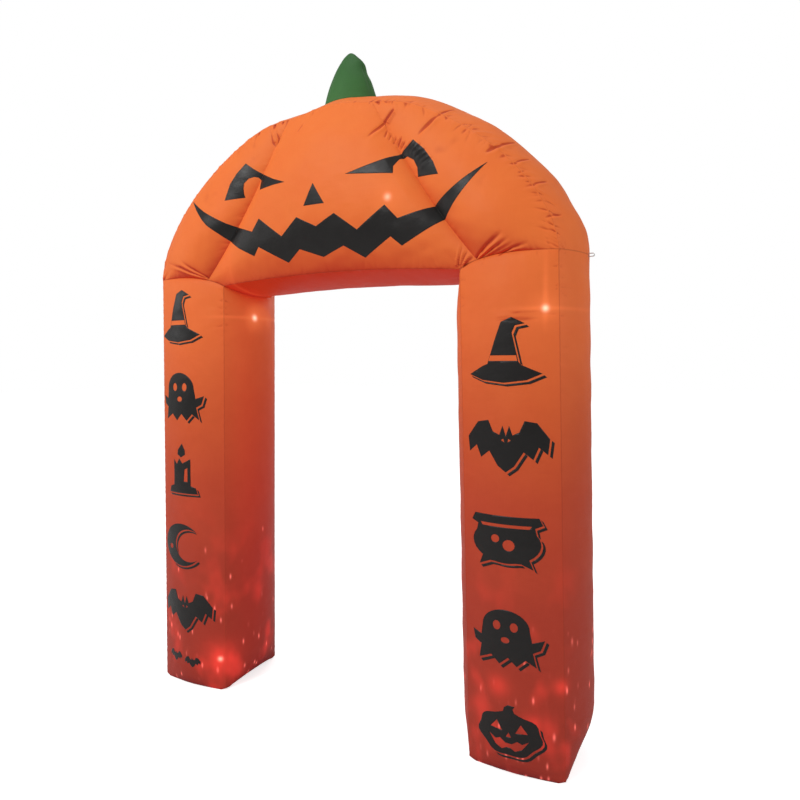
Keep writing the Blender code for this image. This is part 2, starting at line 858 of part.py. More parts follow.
def shoulder_web(side):
    """The level web between a leg and the head."""
    grid = []
    for along in shares(DEPTH_COLUMNS):
        line = []
        for across in shares(LEG_COLUMNS):
            front, back = (shoulder_point(side, facing, across) for facing in (FRONT, BACK))
            point = front.lerp(back, along)
            outer = Vector((side * SIDE_BULGE * swell(along), 0, 0))
            inner = lintel_point(side, along) - shoulder_point(side, FRONT, 1)
            inner.y = 0
            line.append(point + outer * (1 - across) + inner * across)
        grid.append(line)
    sheet = Sheet()
    sheet.patch(drawn_in(grid, 2 * WEB_INSET), Vector((0, 0, 1)))
    return sheet


def crown_web(side):
    """The web behind a crease, from the shoulder up to the strip over the top."""
    turn = CREASE_TURN if side == RIGHT else 1 - CREASE_TURN
    grid = []
    for share in shares(CREASE_ROWS):
        front, back = (crease_point(side, facing, share) for facing in (FRONT, BACK))
        line = []
        for along in shares(DEPTH_COLUMNS):
            point = front.lerp(back, along)
            if share == 1:
                point += arc_normal(turn) * strip_bulge(along)
            line.append(point)
        grid.append(line)
    sheet = Sheet()
    sheet.patch(drawn_in(grid, 2 * WEB_INSET), Vector((side, 0, 1)))
    return sheet


def guide_cylinder(name, place, radius, length, steps=SMALL_STEPS):
    bm = bmesh.new()
    bmesh.ops.create_cone(
        bm, cap_ends=True, segments=steps, radius1=radius, radius2=radius, depth=length
    )
    return add_piece(name, bm, HIDDEN, place)


def guide_block(name, size, place, middle=(0, 0, 0)):
    return block(name, size, HIDDEN, place, middle)


def facing_y(x, y, z):
    """A place whose local Z looks to the back, along Y."""
    return Matrix.Translation((x, y, z)) @ Matrix.Rotation(-math.pi / 2, 4, "X")


def add_envelope():
    for side, word in ((LEFT, "left"), (RIGHT, "right")):
        leg_face(side, FRONT).solid(f"{word}_leg_front", CLOTH)
        back = leg_face(side, BACK).solid(f"{word}_leg_back", CLOTH)
        leg_side(side, True).solid(f"{word}_leg_outer", CLOTH)
        leg_side(side, False).solid(f"{word}_leg_inner", CLOTH)
        add_piece(f"{word}_leg_base", leg_base(side), CLOTH)
        if side == RIGHT:
            place = facing_y(fan_x(), FAN_SEAT, FAN_HEIGHT)
            radius = clear_of(FAN_RADIUS, ROUND_STEPS)
            hole = guide_cylinder("fan_hole", place, radius, CUT_OVERRUN, ROUND_STEPS)
            boolean(back, hole, "DIFFERENCE")
        else:
            size = (SLIT_WIDTH, CUT_OVERRUN, ZIP_LENGTH - 2 * TAPE_WIDTH)
            slit = guide_block("zip_slit", size, zip_place(), (0, 0, ZIP_LENGTH / 2))
            boolean(back, slit, "DIFFERENCE")
        web = shoulder_web(side).solid(f"{word}_shoulder_web", CLOTH)
        x = leg_x(side, VENT_SHARE, OPENING_HEIGHT)
        for number, way in enumerate((-1, 1)):
            place = Matrix.Translation((x, way * VENT_SPACING / 2, SHOULDER_HEIGHT))
            vent = guide_cylinder(f"{word}_vent_{number}", place, VENT_RADIUS, CUT_OVERRUN)
            boolean(web, vent, "DIFFERENCE")
        web = crown_web(side).solid(f"{word}_crown_web", CLOTH)
        boolean(web, crown_vent(side, word), "DIFFERENCE")
    head_face(FRONT).solid("head_front", CLOTH)
    head_face(BACK).solid("head_back", CLOTH)
    strip = head_strip().solid("head_outer_strip", CLOTH)
    place = Matrix.Translation((0, 0, CROWN_HEIGHT))
    boolean(strip, guide_cylinder("stem_vent", place, STEM_VENT_RADIUS, CUT_OVERRUN), "DIFFERENCE")
    head_soffit().solid("head_soffit", CLOTH)


def crown_hole(side):
    """The middle of the vent in a crown web, which the lamp lead passes through too."""
    point = crease_point(side, FRONT, VENT_SHARE)
    return Vector((point.x, 0, point.z))


def crown_vent(side, word):
    run = crease_point(side, FRONT, 1) - crease_point(side, FRONT, 0)
    normal = Vector((run.z, 0, -run.x)).normalized()
    place = Matrix.Translation(crown_hole(side)) @ normal.to_track_quat("Z", "Y").to_matrix().to_4x4()
    return guide_cylinder(f"{word}_crown_vent", place, VENT_RADIUS, CUT_OVERRUN)


# Stem


def strip_height(x, y):
    """The height of the strip over the top at a place near the crown."""
    cosine = abs(x / OUTER_HALF_WIDTH) ** (HEAD_SQUARENESS_SHARE / 2)
    turn = math.acos(min(1, cosine)) / math.pi
    along = (y + HALF_DEPTH) / SEAM_DEPTH
    return arc_point(turn).z + arc_normal(turn).z * strip_bulge(along)


def add_stem():
    sheet = Sheet()
    rings = []
    for rise, width in STEM_SHARES:
        ring = []
        for step in range(ROUND_STEPS + 1):
            angle = 2 * math.pi * step / ROUND_STEPS
            x = STEM_RADIUS * width * math.cos(angle)
            y = STEM_RADIUS * width * math.sin(angle)
            seat = strip_height(STEM_RADIUS * math.cos(angle), STEM_RADIUS * math.sin(angle))
            z = seat + STEM_SEAT + (ARCH_HEIGHT - seat - STEM_SEAT) * rise
            ring.append(Vector((x, y, z)))
        rings.append(ring)
    rings.append([Vector((0, 0, ARCH_HEIGHT))] * (ROUND_STEPS + 1))
    sheet.patch(rings, rings[3][ROUND_STEPS // 2] - Vector((0, 0, ARCH_HEIGHT)))
    for point in rings[0]:
        level = Vector((point.x, point.y, 0)).normalized()
        sheet.sew([point], level, [level], [Vector()])
    sheet.solid("stem", STEM_CLOTH)


# Face

LEFT_EYE_SHARES = (
    (-0.747, 0.073), (-0.708, 0.173), (-0.658, 0.235), (-0.595, 0.294), (-0.530, 0.248),
    (-0.482, 0.220), (-0.355, 0.159), (-0.255, 0.123), (-0.352, 0.120), (-0.471, 0.111),
    (-0.486, 0.176), (-0.512, 0.200), (-0.539, 0.206), (-0.574, 0.197), (-0.606, 0.170),
    (-0.612, 0.136), (-0.611, 0.105), (-0.606, 0.083),
)
RIGHT_EYE_SHARES = (
    (0.171, 0.114), (0.471, 0.198), (0.568, 0.268), (0.638, 0.206), (0.697, 0.126), (0.730, 0.053),
    (0.592, 0.064), (0.592, 0.114), (0.570, 0.158), (0.526, 0.185), (0.482, 0.174), (0.456, 0.132),
    (0.458, 0.091),
)
NOSE_SHARES = ((-0.044, 0.088), (-0.115, -0.036), (0.030, -0.036))
MOUTH_SHARES = (
    (-1.055, 0.112), (-0.909, 0.018), (-0.809, -0.036), (-0.742, -0.070), (-0.695, -0.088),
    (-0.530, -0.142), (-0.470, -0.068), (-0.297, -0.192), (-0.173, -0.094), (-0.039, -0.158),
    (0.092, -0.097), (0.232, -0.200), (0.412, -0.080), (0.486, -0.159), (0.689, -0.108),
    (1.006, 0.083), (0.756, -0.182), (0.500, -0.308), (0.435, -0.253), (0.258, -0.355),
    (0.130, -0.280), (-0.020, -0.332), (-0.180, -0.276), (-0.279, -0.347), (-0.486, -0.239),
    (-0.530, -0.291), (-0.650, -0.233), (-0.750, -0.171), (-0.806, -0.127), (-0.874, -0.077),
    (-0.956, 0.006),
)
FACE_SHARES = {
    "left_eye": LEFT_EYE_SHARES,
    "right_eye": RIGHT_EYE_SHARES,
    "nose": NOSE_SHARES,
    "mouth": MOUTH_SHARES,
}


def add_face():
    """Each part of the face is a thin print that follows the cloth of the head's front."""
    for name, outline in FACE_SHARES.items():
        piece = head_face(FRONT).solid(name, PRINT, SEAM_GAP + PRINT_WALL, PRINT_WALL)
        bm = bmesh.new()
        corners = []
        for across, up in outline:
            x = OUTER_HALF_WIDTH * FACE_WIDTH_SHARE * across
            z = SHOULDER_HEIGHT + HEAD_RISE * (FACE_CENTRE_SHARE + FACE_HEIGHT_SHARE * up)
            corners.append(bm.verts.new((x, -PRINT_REACH, z)))
        raised(bm, [bm.faces.new(corners)], (0, PRINT_REACH, 0))
        boolean(piece, add_piece(name + "_outline", bm, HIDDEN), "INTERSECT", True)


# Fan unit


def fan_x():
    return leg_x(RIGHT, 0.5, FAN_HEIGHT)


def fan_place(out):
    """A place on the fan's axis, so far out from the cloth, whose local Z looks out."""
    return facing_y(fan_x(), FAN_SEAT + out, FAN_HEIGHT)


def add_fan():
    top = SEAM_GAP + FLANGE_WALL
    housing = [(FAN_BORE, -FAN_DEPTH), (FAN_RADIUS, -FAN_DEPTH), (FAN_RADIUS, SEAM_GAP)]
    housing += [(FLANGE_RADIUS, SEAM_GAP), (FLANGE_RADIUS, top), (FAN_BORE, top)]
    turned("fan_housing", housing, ROUND_STEPS, DARK, fan_place(0))
    bore = clear_of(FAN_RADIUS, ROUND_STEPS)
    clamp = [(bore, 0), (bore, -FLANGE_WALL), (FLANGE_RADIUS, -FLANGE_WALL), (FLANGE_RADIUS, 0)]
    turned("fan_clamp_ring", clamp, ROUND_STEPS, DARK, fan_place(-CLOTH_WALL - SEAM_GAP))
    edge = inside(FAN_BORE, ROUND_STEPS)
    third = (edge - GUARD_HUB_RADIUS) / 3
    radii = [GUARD_HUB_RADIUS]
    for ring in range(3):
        outer = GUARD_HUB_RADIUS + third * (ring + 1)
        radii += [outer - GUARD_RING_WIDTH, outer]
    place = fan_place(top - GUARD_WALL)
    polar_plate("fan_guard", radii, GUARD_SPOKES, GUARD_SPOKE_WIDTH, (1, 3, 5), GUARD_WALL, DARK, place)
    radii = [BRACKET_HUB_RADIUS, edge - BRACKET_RING_WIDTH, edge]
    place = fan_place(-FAN_DEPTH)
    polar_plate("fan_bracket", radii, BRACKET_ARMS, BRACKET_ARM_WIDTH, (1,), BRACKET_WALL, DARK, place)
    foot = BRACKET_WALL + SEAM_GAP - FAN_DEPTH
    bore = clear_of(FAN_SHAFT_RADIUS, SMALL_STEPS, SHAFT_GAP)
    rim = MOTOR_RADIUS - MOTOR_ROUND
    motor = [(0, 0), (rim, 0), (MOTOR_RADIUS, MOTOR_ROUND), (MOTOR_RADIUS, MOTOR_LENGTH - MOTOR_ROUND)]
    motor += [(rim, MOTOR_LENGTH), (bore, MOTOR_LENGTH), (bore, MOTOR_LENGTH - BORE_DEPTH)]
    motor += [(0, MOTOR_LENGTH - BORE_DEPTH)]
    turned("fan_motor", motor, SMALL_STEPS, METAL, fan_place(foot))
    drop = RUNNING_GAP + BORE_DEPTH - 2 * SEAM_GAP
    rotor = [(0, -drop), (FAN_SHAFT_RADIUS, -drop), (FAN_SHAFT_RADIUS, 0), (HUB_RADIUS, 0)]
    rotor += quarter_edge(HUB_RADIUS, HUB_LENGTH, HUB_ROUND) + [(0, HUB_LENGTH)]
    place = fan_place(foot + MOTOR_LENGTH + RUNNING_GAP)
    core = turned("fan_rotor", rotor, SMALL_STEPS, DARK, place)
    boolean(core, add_piece("fan_blades", blade_mesh(), HIDDEN, place), "UNION")


def quarter_edge(radius, height, rounding):
    """Points of a rounded rim, from its side to its flat end."""
    points = []
    for share in shares(ARC_STEPS // 2):
        turn = math.pi / 2 * share
        points.append((radius - rounding * (1 - math.cos(turn)), height - rounding * (1 - math.sin(turn))))
    return points


def blade_mesh():
    """The twisted blades, whose roots sink into the hub."""
    bm = bmesh.new()
    root = HUB_RADIUS - BLADE_ROOT_SINK
    tip = inside(FAN_BORE, ROUND_STEPS) - BLADE_TIP_GAP
    for blade in range(BLADE_COUNT):
        rings = []
        for share in shares(BLADE_STEPS):
            radius = root + (tip - root) * share
            pitch = BLADE_ROOT_TURN + (BLADE_TIP_TURN - BLADE_ROOT_TURN) * share
            half = BLADE_CHORD * (BLADE_ROOT_SHARE + (1 - BLADE_ROOT_SHARE) * share) / 2
            ring = []
            for along, through in ((-1, -1), (1, -1), (1, 1), (-1, 1)):
                wall = through * BLADE_WALL / 2
                turn = (along * half * math.cos(pitch) - wall * math.sin(pitch)) / radius
                turn += 2 * math.pi * blade / BLADE_COUNT
                height = HUB_LENGTH / 2 + along * half * math.sin(pitch) + wall * math.cos(pitch)
                ring.append(bm.verts.new((radius * math.cos(turn), radius * math.sin(turn), height)))
            rings.append(ring)
        for low, high in zip(rings, rings[1:]):
            close_rings(bm, low, high)
        bm.faces.new(rings[0])
        bm.faces.new(rings[-1])
    return bm


def add_inlet():
    foot = FAN_HEIGHT - FLANGE_RADIUS - SEAM_GAP - INLET_HEIGHT
    place = Matrix.Translation((fan_x(), FAN_SEAT + SEAM_GAP + INLET_DEPTH / 2, foot))
    size = (INLET_WIDTH, INLET_DEPTH, INLET_HEIGHT)
    body = block("power_inlet", size, DARK, place, (0, 0, INLET_HEIGHT / 2), SMALL_BEVEL)
    bore = [(0, -INLET_BORE_DEPTH), (INLET_BORE_RADIUS, -INLET_BORE_DEPTH)]
    bore += [(INLET_BORE_RADIUS, INLET_BORE_DEPTH), (INLET_PIN_RADIUS, INLET_BORE_DEPTH)]
    bore += [(INLET_PIN_RADIUS, INLET_PIN_DROP), (0, INLET_PIN_DROP)]
    boolean(body, turned("inlet_bore", bore, SMALL_STEPS, HIDDEN, place), "DIFFERENCE")


# Lamps and their leads


def right_lamp():
    height = SHOULDER_HEIGHT - RIGHT_LAMP_DROP
    return Vector((leg_x(RIGHT, RIGHT_LAMP_SHARE, OPENING_HEIGHT), 0, height))


def left_lamp():
    height = SHOULDER_HEIGHT - LEFT_LAMP_DROP
    return Vector((leg_x(LEFT, LEFT_LAMP_SHARE, OPENING_HEIGHT), LEFT_LAMP_Y, height))


def head_lamp():
    return Vector((HEAD_LAMP_X, 0, SHOULDER_HEIGHT + HEAD_RISE * HEAD_LAMP_SHARE))


def add_lamp(word, point, size):
    """A holder on the lead and its clear dome, which looks to the front."""
    block(f"{word}_lamp_holder", size, DARK, Matrix.Translation(point), bevel=HOLDER_BEVEL)
    place = Matrix.Translation(point + Vector((0, -HOLDER_DEPTH / 2 - SEAM_GAP, 0)))
    dome = [(0, 0), (DOME_RADIUS, 0)] + quarter(DOME_RADIUS, DOME_HEIGHT - DOME_RADIUS, DOME_RADIUS)
    dome += [(0, DOME_HEIGHT)]
    turned(f"{word}_lamp_dome", dome, SMALL_STEPS, CLEAR, place @ Matrix.Rotation(math.pi / 2, 4, "X"))


def add_lamps():
    upright = (HOLDER_WIDTH, HOLDER_DEPTH, HOLDER_LENGTH)
    add_lamp("right", right_lamp(), upright)
    add_lamp("left", left_lamp(), upright)
    add_lamp("head", head_lamp(), (HOLDER_LENGTH, HOLDER_DEPTH, HOLDER_WIDTH))


def tie_frame(side):
    """The way from a tie to the corner seam, the way across it, and the middle of its eye."""
    out = Vector((side, 1, 0)).normalized()
    across = Vector((side, -1, 0)).normalized()
    seam = Vector((leg_x(side, 0, TIE_HEIGHT), HALF_DEPTH, TIE_HEIGHT))
    return out, across, seam - out * TIE_REACH - across * TIE_RADIUS


def add_ties():
    """A hook of tape from the corner seam round the lead."""
    for side, word in ((LEFT, "left"), (RIGHT, "right")):
        out, across, middle = tie_frame(side)
        line = [Vector((TIE_REACH - 2 * CLOTH_WALL, 0, TIE_RADIUS))]
        for share in shares(SMALL_STEPS)[:-1]:
            turn = math.pi / 2 + TIE_TURN * share
            line.append(Vector((TIE_RADIUS * math.cos(turn), 0, TIE_RADIUS * math.sin(turn))))
        turn = Matrix((out, out.cross(-across), across)).transposed().to_4x4()
        ribbon(f"{word}_tie", line, TIE_WALL, TIE_WIDTH, CLOTH, Matrix.Translation(middle) @ turn)


def add_leads():
    up = Vector((0, 0, LEAD_RUN))
    side_way = Vector((LEAD_RUN, 0, 0))
    tip = Vector((0, 0, HOLDER_LENGTH / 2 + SEAM_GAP))
    end = Vector((HOLDER_LENGTH / 2 + SEAM_GAP, 0, 0))
    fan = Vector((fan_x(), FAN_SEAT - FAN_DEPTH * LEAD_SHARE, FAN_HEIGHT))
    rim = Vector((0, 0, FAN_RADIUS + SEAM_GAP))
    right_tie, left_tie = (tie_frame(side)[2] for side in (RIGHT, LEFT))
    right_vent, left_vent = (
        Vector((leg_x(side, VENT_SHARE, OPENING_HEIGHT), VENT_SPACING / 2, SHOULDER_HEIGHT))
        for side in (RIGHT, LEFT)
    )
    line = [fan + rim, fan + rim + up, right_tie - up, right_tie, right_tie + up]
    lead("fan_lamp_lead", line + [right_lamp() - tip - up, right_lamp() - tip])
    line = [right_lamp() + tip, right_lamp() + tip + up, right_vent - up, right_vent + up]
    lead("right_head_lead", line + [crown_hole(RIGHT), head_lamp() + end + side_way, head_lamp() + end])
    line = [head_lamp() - end, head_lamp() - end - side_way, crown_hole(LEFT), left_vent + up]
    lead("head_left_lead", line + [left_vent - up, left_lamp() + tip + up, left_lamp() + tip])
    line = [left_lamp() - tip, left_lamp() - tip - up, left_tie + up, left_tie, left_tie - up]
    lead("left_spot_lead", line + spot_entry(LEFT))
    lead("right_spot_lead", [fan - rim, fan - rim - up] + spot_entry(RIGHT))


def spot_entry(side):
    """How a lead comes in to the back of a spot lamp."""
    end = spot_place(side).translation + Vector((0, SPOT_RADIUS + SEAM_GAP, SPOT_LEAD_HEIGHT))
    return [end + Vector((0, LEAD_RUN, 0)), end]


# Spot lamps in the feet


def spot_place(side):
    return Matrix.Translation((leg_x(side, 0.5, 0), 0, CLOTH_WALL + SEAM_GAP))


def add_spot(side, word):
    place = spot_place(side)
    bore = SPOT_RADIUS - SPOT_WALL
    ledge = SPOT_HEIGHT - SPOT_LEDGE_DROP
    cup = [(0, 0), (SPOT_FOOT_RADIUS, 0), (SPOT_FOOT_RADIUS, SPOT_WALL), (SPOT_RADIUS, SPOT_WALL)]
    cup += [(SPOT_RADIUS, SPOT_HEIGHT), (bore, SPOT_HEIGHT), (bore, ledge), (bore - SPOT_LEDGE, ledge)]
    cup += [(bore - SPOT_LEDGE, SPOT_WALL), (0, SPOT_WALL)]
    turned(f"{word}_spot_base", cup, ROUND_STEPS, DARK, place)

    shaft_bore = clear_of(SPOT_SHAFT_RADIUS, SMALL_STEPS, SHAFT_GAP)
    foot = SPOT_WALL + SEAM_GAP
    can = foot + SPOT_MOTOR_HEIGHT
    top = can + SPOT_BOSS_HEIGHT
    deep = top - BORE_DEPTH
    motor = [(0, foot), (SPOT_MOTOR_RADIUS, foot), (SPOT_MOTOR_RADIUS, can), (SPOT_BOSS_RADIUS, can)]
    motor += [(SPOT_BOSS_RADIUS, top), (shaft_bore, top), (shaft_bore, deep), (0, deep)]
    turned(f"{word}_spot_motor", motor, SMALL_STEPS, METAL, place)

    low = ledge + SEAM_GAP
    high = low + BOARD_WALL
    edge = inside(bore, ROUND_STEPS)
    plate = [(BOARD_HOLE_RADIUS, low), (edge, low), (edge, high), (BOARD_HOLE_RADIUS, high)]
    board = turned(f"{word}_spot_board", plate, ROUND_STEPS, BOARD, place)
    bm = bmesh.new()
    for number in range(LED_COUNT):
        angle = 2 * math.pi * number / LED_COUNT
        x, y = LED_PLACE_RADIUS * math.cos(angle), LED_PLACE_RADIUS * math.sin(angle)
        led = turned_mesh([(0, 0)] + quarter(LED_RADIUS, 0, LED_RADIUS) + [(0, LED_RADIUS)], SMALL_STEPS)
        bmesh.ops.translate(led, vec=(x, y, high - LED_SINK), verts=led.verts[:])
        copy = bpy.data.meshes.new("led")
        led.to_mesh(copy)
        led.free()
        bm.from_mesh(copy)
    boolean(board, add_piece(f"{word}_leds", bm, HIDDEN, place), "UNION")

    rim = SPOT_HEIGHT + RUNNING_GAP
    boss = rim + SPOT_DOME_RADIUS - SPOT_BOSS_SINK
    inner = SPOT_DOME_RADIUS - SPOT_DOME_WALL
    seat = boss + BORE_DEPTH
    turn_place = place @ Matrix.Translation((0, 0, rim))
    bottom, end = deep + 2 * SEAM_GAP - rim, seat - SEAM_GAP - rim
    shaft = [(0, bottom), (SPOT_SHAFT_RADIUS, bottom), (SPOT_SHAFT_RADIUS, end), (0, end)]
    turned(f"{word}_spot_shaft", shaft, SMALL_STEPS, METAL, turn_place)
    dome = quarter(SPOT_DOME_RADIUS, 0, SPOT_DOME_RADIUS) + [(0, SPOT_DOME_RADIUS)]
    dome += [(0, seat - rim), (shaft_bore, seat - rim), (shaft_bore, boss - rim)]
    dome += [(SPOT_BOSS_RADIUS, boss - rim)]
    neck = math.sqrt(inner**2 - SPOT_BOSS_RADIUS**2)
    dome += [(SPOT_BOSS_RADIUS, neck)] + list(reversed(quarter(inner, 0, inner)))
    turned(f"{word}_spot_dome", dome, SPOT_DOME_FACETS, CLEAR, turn_place)


# Zip


def zip_place():
    """The zip's frame: its origin at the foot of the tape, Z up along the leg and Y out."""
    out = HALF_DEPTH + FACE_BULGE + SEAM_GAP
    foot = Vector((leg_x(LEFT, 0.5, ZIP_FOOT_HEIGHT), out, ZIP_FOOT_HEIGHT))
    lean = math.atan(LEG_SPLAY / OPENING_HEIGHT)
    return Matrix.Translation(foot) @ Matrix.Rotation(lean, 4, "Y")


def add_zip():
    place = zip_place()
    half = ZIP_LENGTH / 2
    size = (TAPE_WIDTH, TAPE_WALL, ZIP_LENGTH)
    tape = block("zip_tape", size, BLACK_CLOTH, place, (0, TAPE_WALL / 2, half))
    rise = CHAIN_WALL - TAPE_WALL / 2
    size = (CHAIN_WIDTH, rise, ZIP_LENGTH - STOP_LENGTH)
    boolean(tape, guide_block("zip_chain", size, place, (0, CHAIN_WALL - rise / 2, half)), "UNION")
    rise = STOP_WALL - TAPE_WALL / 2
    for number, height in enumerate((STOP_LENGTH, ZIP_LENGTH - STOP_LENGTH)):
        size = (STOP_WIDTH, rise, STOP_LENGTH)
        stop = guide_block(f"zip_stop_{number}", size, place, (0, STOP_WALL - rise / 2, height))
        boolean(tape, stop, "UNION")

    at = place @ Matrix.Translation((0, 0, SLIDER_PLACE))
    low = TAPE_WALL + SEAM_GAP
    size = (SLIDER_WIDTH, SLIDER_WALL, SLIDER_LENGTH)
    slider = block("zip_slider", size, METAL, at, (0, low + SLIDER_WALL / 2, 0), SMALL_BEVEL / 2)
    top = low + SLIDER_WALL
    size = (CHAIN_WIDTH + 2 * SEAM_GAP, 2 * (CHAIN_WALL + SEAM_GAP), SLIDER_LENGTH * 2)
    boolean(slider, guide_block("slider_channel", size, at, (0, 0, 0)), "DIFFERENCE")
    rise = BRIDGE_RISE + SLIDER_WALL / 2
    size = (BRIDGE_WIDTH, rise, BRIDGE_LENGTH)
    bridge = guide_block("slider_bridge", size, at, (0, top + BRIDGE_RISE - rise / 2, 0))
    boolean(slider, bridge, "UNION")
    size = (BRIDGE_WIDTH - 2 * BRIDGE_BAR, BRIDGE_RISE - BRIDGE_BAR, SLIDER_LENGTH)
    eye = guide_block("bridge_eye", size, at, (0, top + (BRIDGE_RISE - BRIDGE_BAR) / 2, 0))
    boolean(slider, eye, "DIFFERENCE")

    hinge = at @ Matrix.Translation((0, top + BRIDGE_RISE - BRIDGE_BAR / 2, 0))
    across = hinge @ Matrix.Rotation(math.pi / 2, 4, "Y")
    size = (PULL_WIDTH, PULL_WALL, PULL_LENGTH)
    middle = (0, 0, -PULL_LENGTH / 2 - EYE_BORE_RADIUS)
    pull = block("zip_pull", size, METAL, hinge, middle, PULL_WALL / 4)
    eye = guide_cylinder("pull_eye", across, EYE_RADIUS, PULL_WIDTH - SEAM_GAP)
    boolean(pull, eye, "UNION")
    boolean(pull, guide_cylinder("pull_bore", across, EYE_BORE_RADIUS, 2 * PULL_WIDTH), "DIFFERENCE")


# Tether loops


def add_loops():
    """A folded band at each end of the shoulder seams, for the tether lines."""
    for side, word in ((LEFT, "left"), (RIGHT, "right")):
        line = [Vector((SEAM_GAP, 0, -LOOP_HEIGHT / 2))]
        for share in shares(SMALL_STEPS // 2):
            turn = math.pi * (share - 0.5)
            x = LOOP_REACH - LOOP_HEIGHT / 2 * (1 - math.cos(turn))
            line.append(Vector((x, 0, LOOP_HEIGHT / 2 * math.sin(turn))))
        line.append(Vector((SEAM_GAP, 0, LOOP_HEIGHT / 2)))
        place = Matrix.Translation((side * (OUTER_HALF_WIDTH + SIDE_BULGE), 0, SHOULDER_HEIGHT))
        if side == LEFT:
            place = place @ Matrix.Rotation(math.pi, 4, "Z")
        ribbon(f"{word}_tether_loop", line, LOOP_WALL, LOOP_WIDTH, WEBBING, place)


def main():
    clear_scene()
    add_envelope()
    add_stem()
    add_face()
    add_fan()
    add_inlet()
    add_lamps()
    add_ties()
    add_leads()
    for side, word in ((LEFT, "left"), (RIGHT, "right")):
        add_spot(side, word)
    add_zip()
    add_loops()


HIDDEN = finish("guide", GREY)
CLOTH = finish("orange_cloth", ORANGE, 0.55)
STEM_CLOTH = finish("green_cloth", GREEN, 0.6)
PRINT = finish("black_print", BLACK, 0.45)
BLACK_CLOTH = finish("black_cloth", BLACK, 0.8)
WEBBING = finish("white_webbing", WHITE, 0.8)
DARK = finish("dark_plastic", GREY, 0.45)
CLEAR = finish("clear_plastic", WHITE, 0.1)
RUBBER = finish("lead_rubber", BLACK, 0.6)
BOARD = finish("circuit_board", CIRCUIT, 0.5)
METAL = finish("plain_steel", STEEL, 0.35, 1.0)

main()
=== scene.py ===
"""The looks of the inflatable pumpkin arch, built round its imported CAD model.

The cloth panels are made again from the sizes of the part's source, with the folds and puckers that the air
presses into them. The frame has X to the right as seen from the front, -Y to the front and Z up.
"""

import math

import bmesh
import bpy
import numpy as np
from mathutils import Euler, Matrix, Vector


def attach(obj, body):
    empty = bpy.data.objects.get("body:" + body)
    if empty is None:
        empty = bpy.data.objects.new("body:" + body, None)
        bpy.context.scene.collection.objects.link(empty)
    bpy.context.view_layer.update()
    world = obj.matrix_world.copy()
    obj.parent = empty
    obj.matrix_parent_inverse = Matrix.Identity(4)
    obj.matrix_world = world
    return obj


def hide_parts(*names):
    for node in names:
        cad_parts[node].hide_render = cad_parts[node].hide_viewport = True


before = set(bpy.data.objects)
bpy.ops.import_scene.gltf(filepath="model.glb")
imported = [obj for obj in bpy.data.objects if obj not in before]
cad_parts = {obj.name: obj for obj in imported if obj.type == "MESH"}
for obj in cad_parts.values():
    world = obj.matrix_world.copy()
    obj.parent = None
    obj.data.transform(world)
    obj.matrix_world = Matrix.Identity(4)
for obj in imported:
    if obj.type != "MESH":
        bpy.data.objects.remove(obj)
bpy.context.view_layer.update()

# The envelope, as in the part's source
ARCH_HEIGHT = 2.743
OUTER_HALF_WIDTH = 0.903
OPENING_HALF_WIDTH = 0.546
SEAM_DEPTH = 0.353
OPENING_HEIGHT = 1.800
SHOULDER_HEIGHT = 1.845
CROWN_HEIGHT = 2.509
LEG_SPLAY = 0.034
CLOTH_WALL = 0.0012
SIDE_BULGE = 0.066
FACE_BULGE = 0.045
SIDE_LOBE_BULGE = 0.048
MIDDLE_LOBE_BULGE = 0.075
FOOT_ROUND = 0.10
SHOULDER_ROUND = 0.16
SOFFIT_RISE = 0.025
SOFFIT_SAG = 0.014
LINTEL_SAG = 0.030
LINTEL_LEAN = 0.020
FOOT_SHARE = 0.30
SIDE_FOOT_SHARE = 0.05
SIDE_FOOT_ROUND = 0.20
SHOULDER_SHARE = 0.60
HEAD_SQUARENESS_SHARE = 1.66
PILLOW_SHARE = 0.90
CREASE_TOP_X = 0.190
CREASE_BOW = 0.026
CREASE_FOOT_SHARE = 0.8
WEB_INSET = 0.0034
VENT_RADIUS = 0.045
VENT_SPACING = 0.170
VENT_SHARE = 0.45
STEM_RADIUS = 0.115
STEM_SHARES = ((0, 1), (0.2, 0.89), (0.4, 0.77), (0.6, 0.62), (0.8, 0.40), (0.93, 0.21), (1, 0))
FACE_CENTRE_HEIGHT = 2.10
FACE_HALF_WIDTH = 0.66
FAN_HEIGHT = 0.300
FAN_SEAT_BULGE = 0.0288
FAN_SEAT_REACH = 0.120
FAN_BLEND = 0.060
FAN_HOLE_RADIUS = 0.0795
ZIP_FOOT_HEIGHT = 0.180
ZIP_LENGTH = 0.360
SLIT_MARGIN = 0.028
TAPE_WIDTH = 0.028
TAPE_WALL = 0.0008
TAPE_LIFT = 0.0003
CHAIN_WALL = 0.0018
STOP_SIZE = (0.009, 0.0018, 0.004)

HALF_DEPTH = SEAM_DEPTH / 2
LEG_WIDTH = OUTER_HALF_WIDTH - OPENING_HALF_WIDTH
HEAD_RISE = CROWN_HEIGHT - SHOULDER_HEIGHT
SHOULDER_DROP = SHOULDER_HEIGHT - OPENING_HEIGHT
CREASE_TURN = math.acos((CREASE_TOP_X / OUTER_HALF_WIDTH) ** (HEAD_SQUARENESS_SHARE / 2)) / math.pi

LEFT, RIGHT = -1, 1
FRONT, BACK = -1, 1
SIDES = ((LEFT, "left"), (RIGHT, "right"))
FACINGS = ((FRONT, "front"), (BACK, "back"))

GRID_STEP = 0.0064
FINE_STEPS = 166
CREASE_STEPS = 84
SIDE_LOBE_COUNTS = {FRONT: 226, BACK: 116}
MIDDLE_LOBE_COUNTS = {FRONT: 270, BACK: 156}
LOBE_STEPS = {FRONT: FINE_STEPS, BACK: CREASE_STEPS}
STRIP_COUNTS = (600, 78)
DIP_REACH = 0.018


# Outline of the envelope, on arrays of shares


def swell(share):
    return 4 * share * (1 - share)


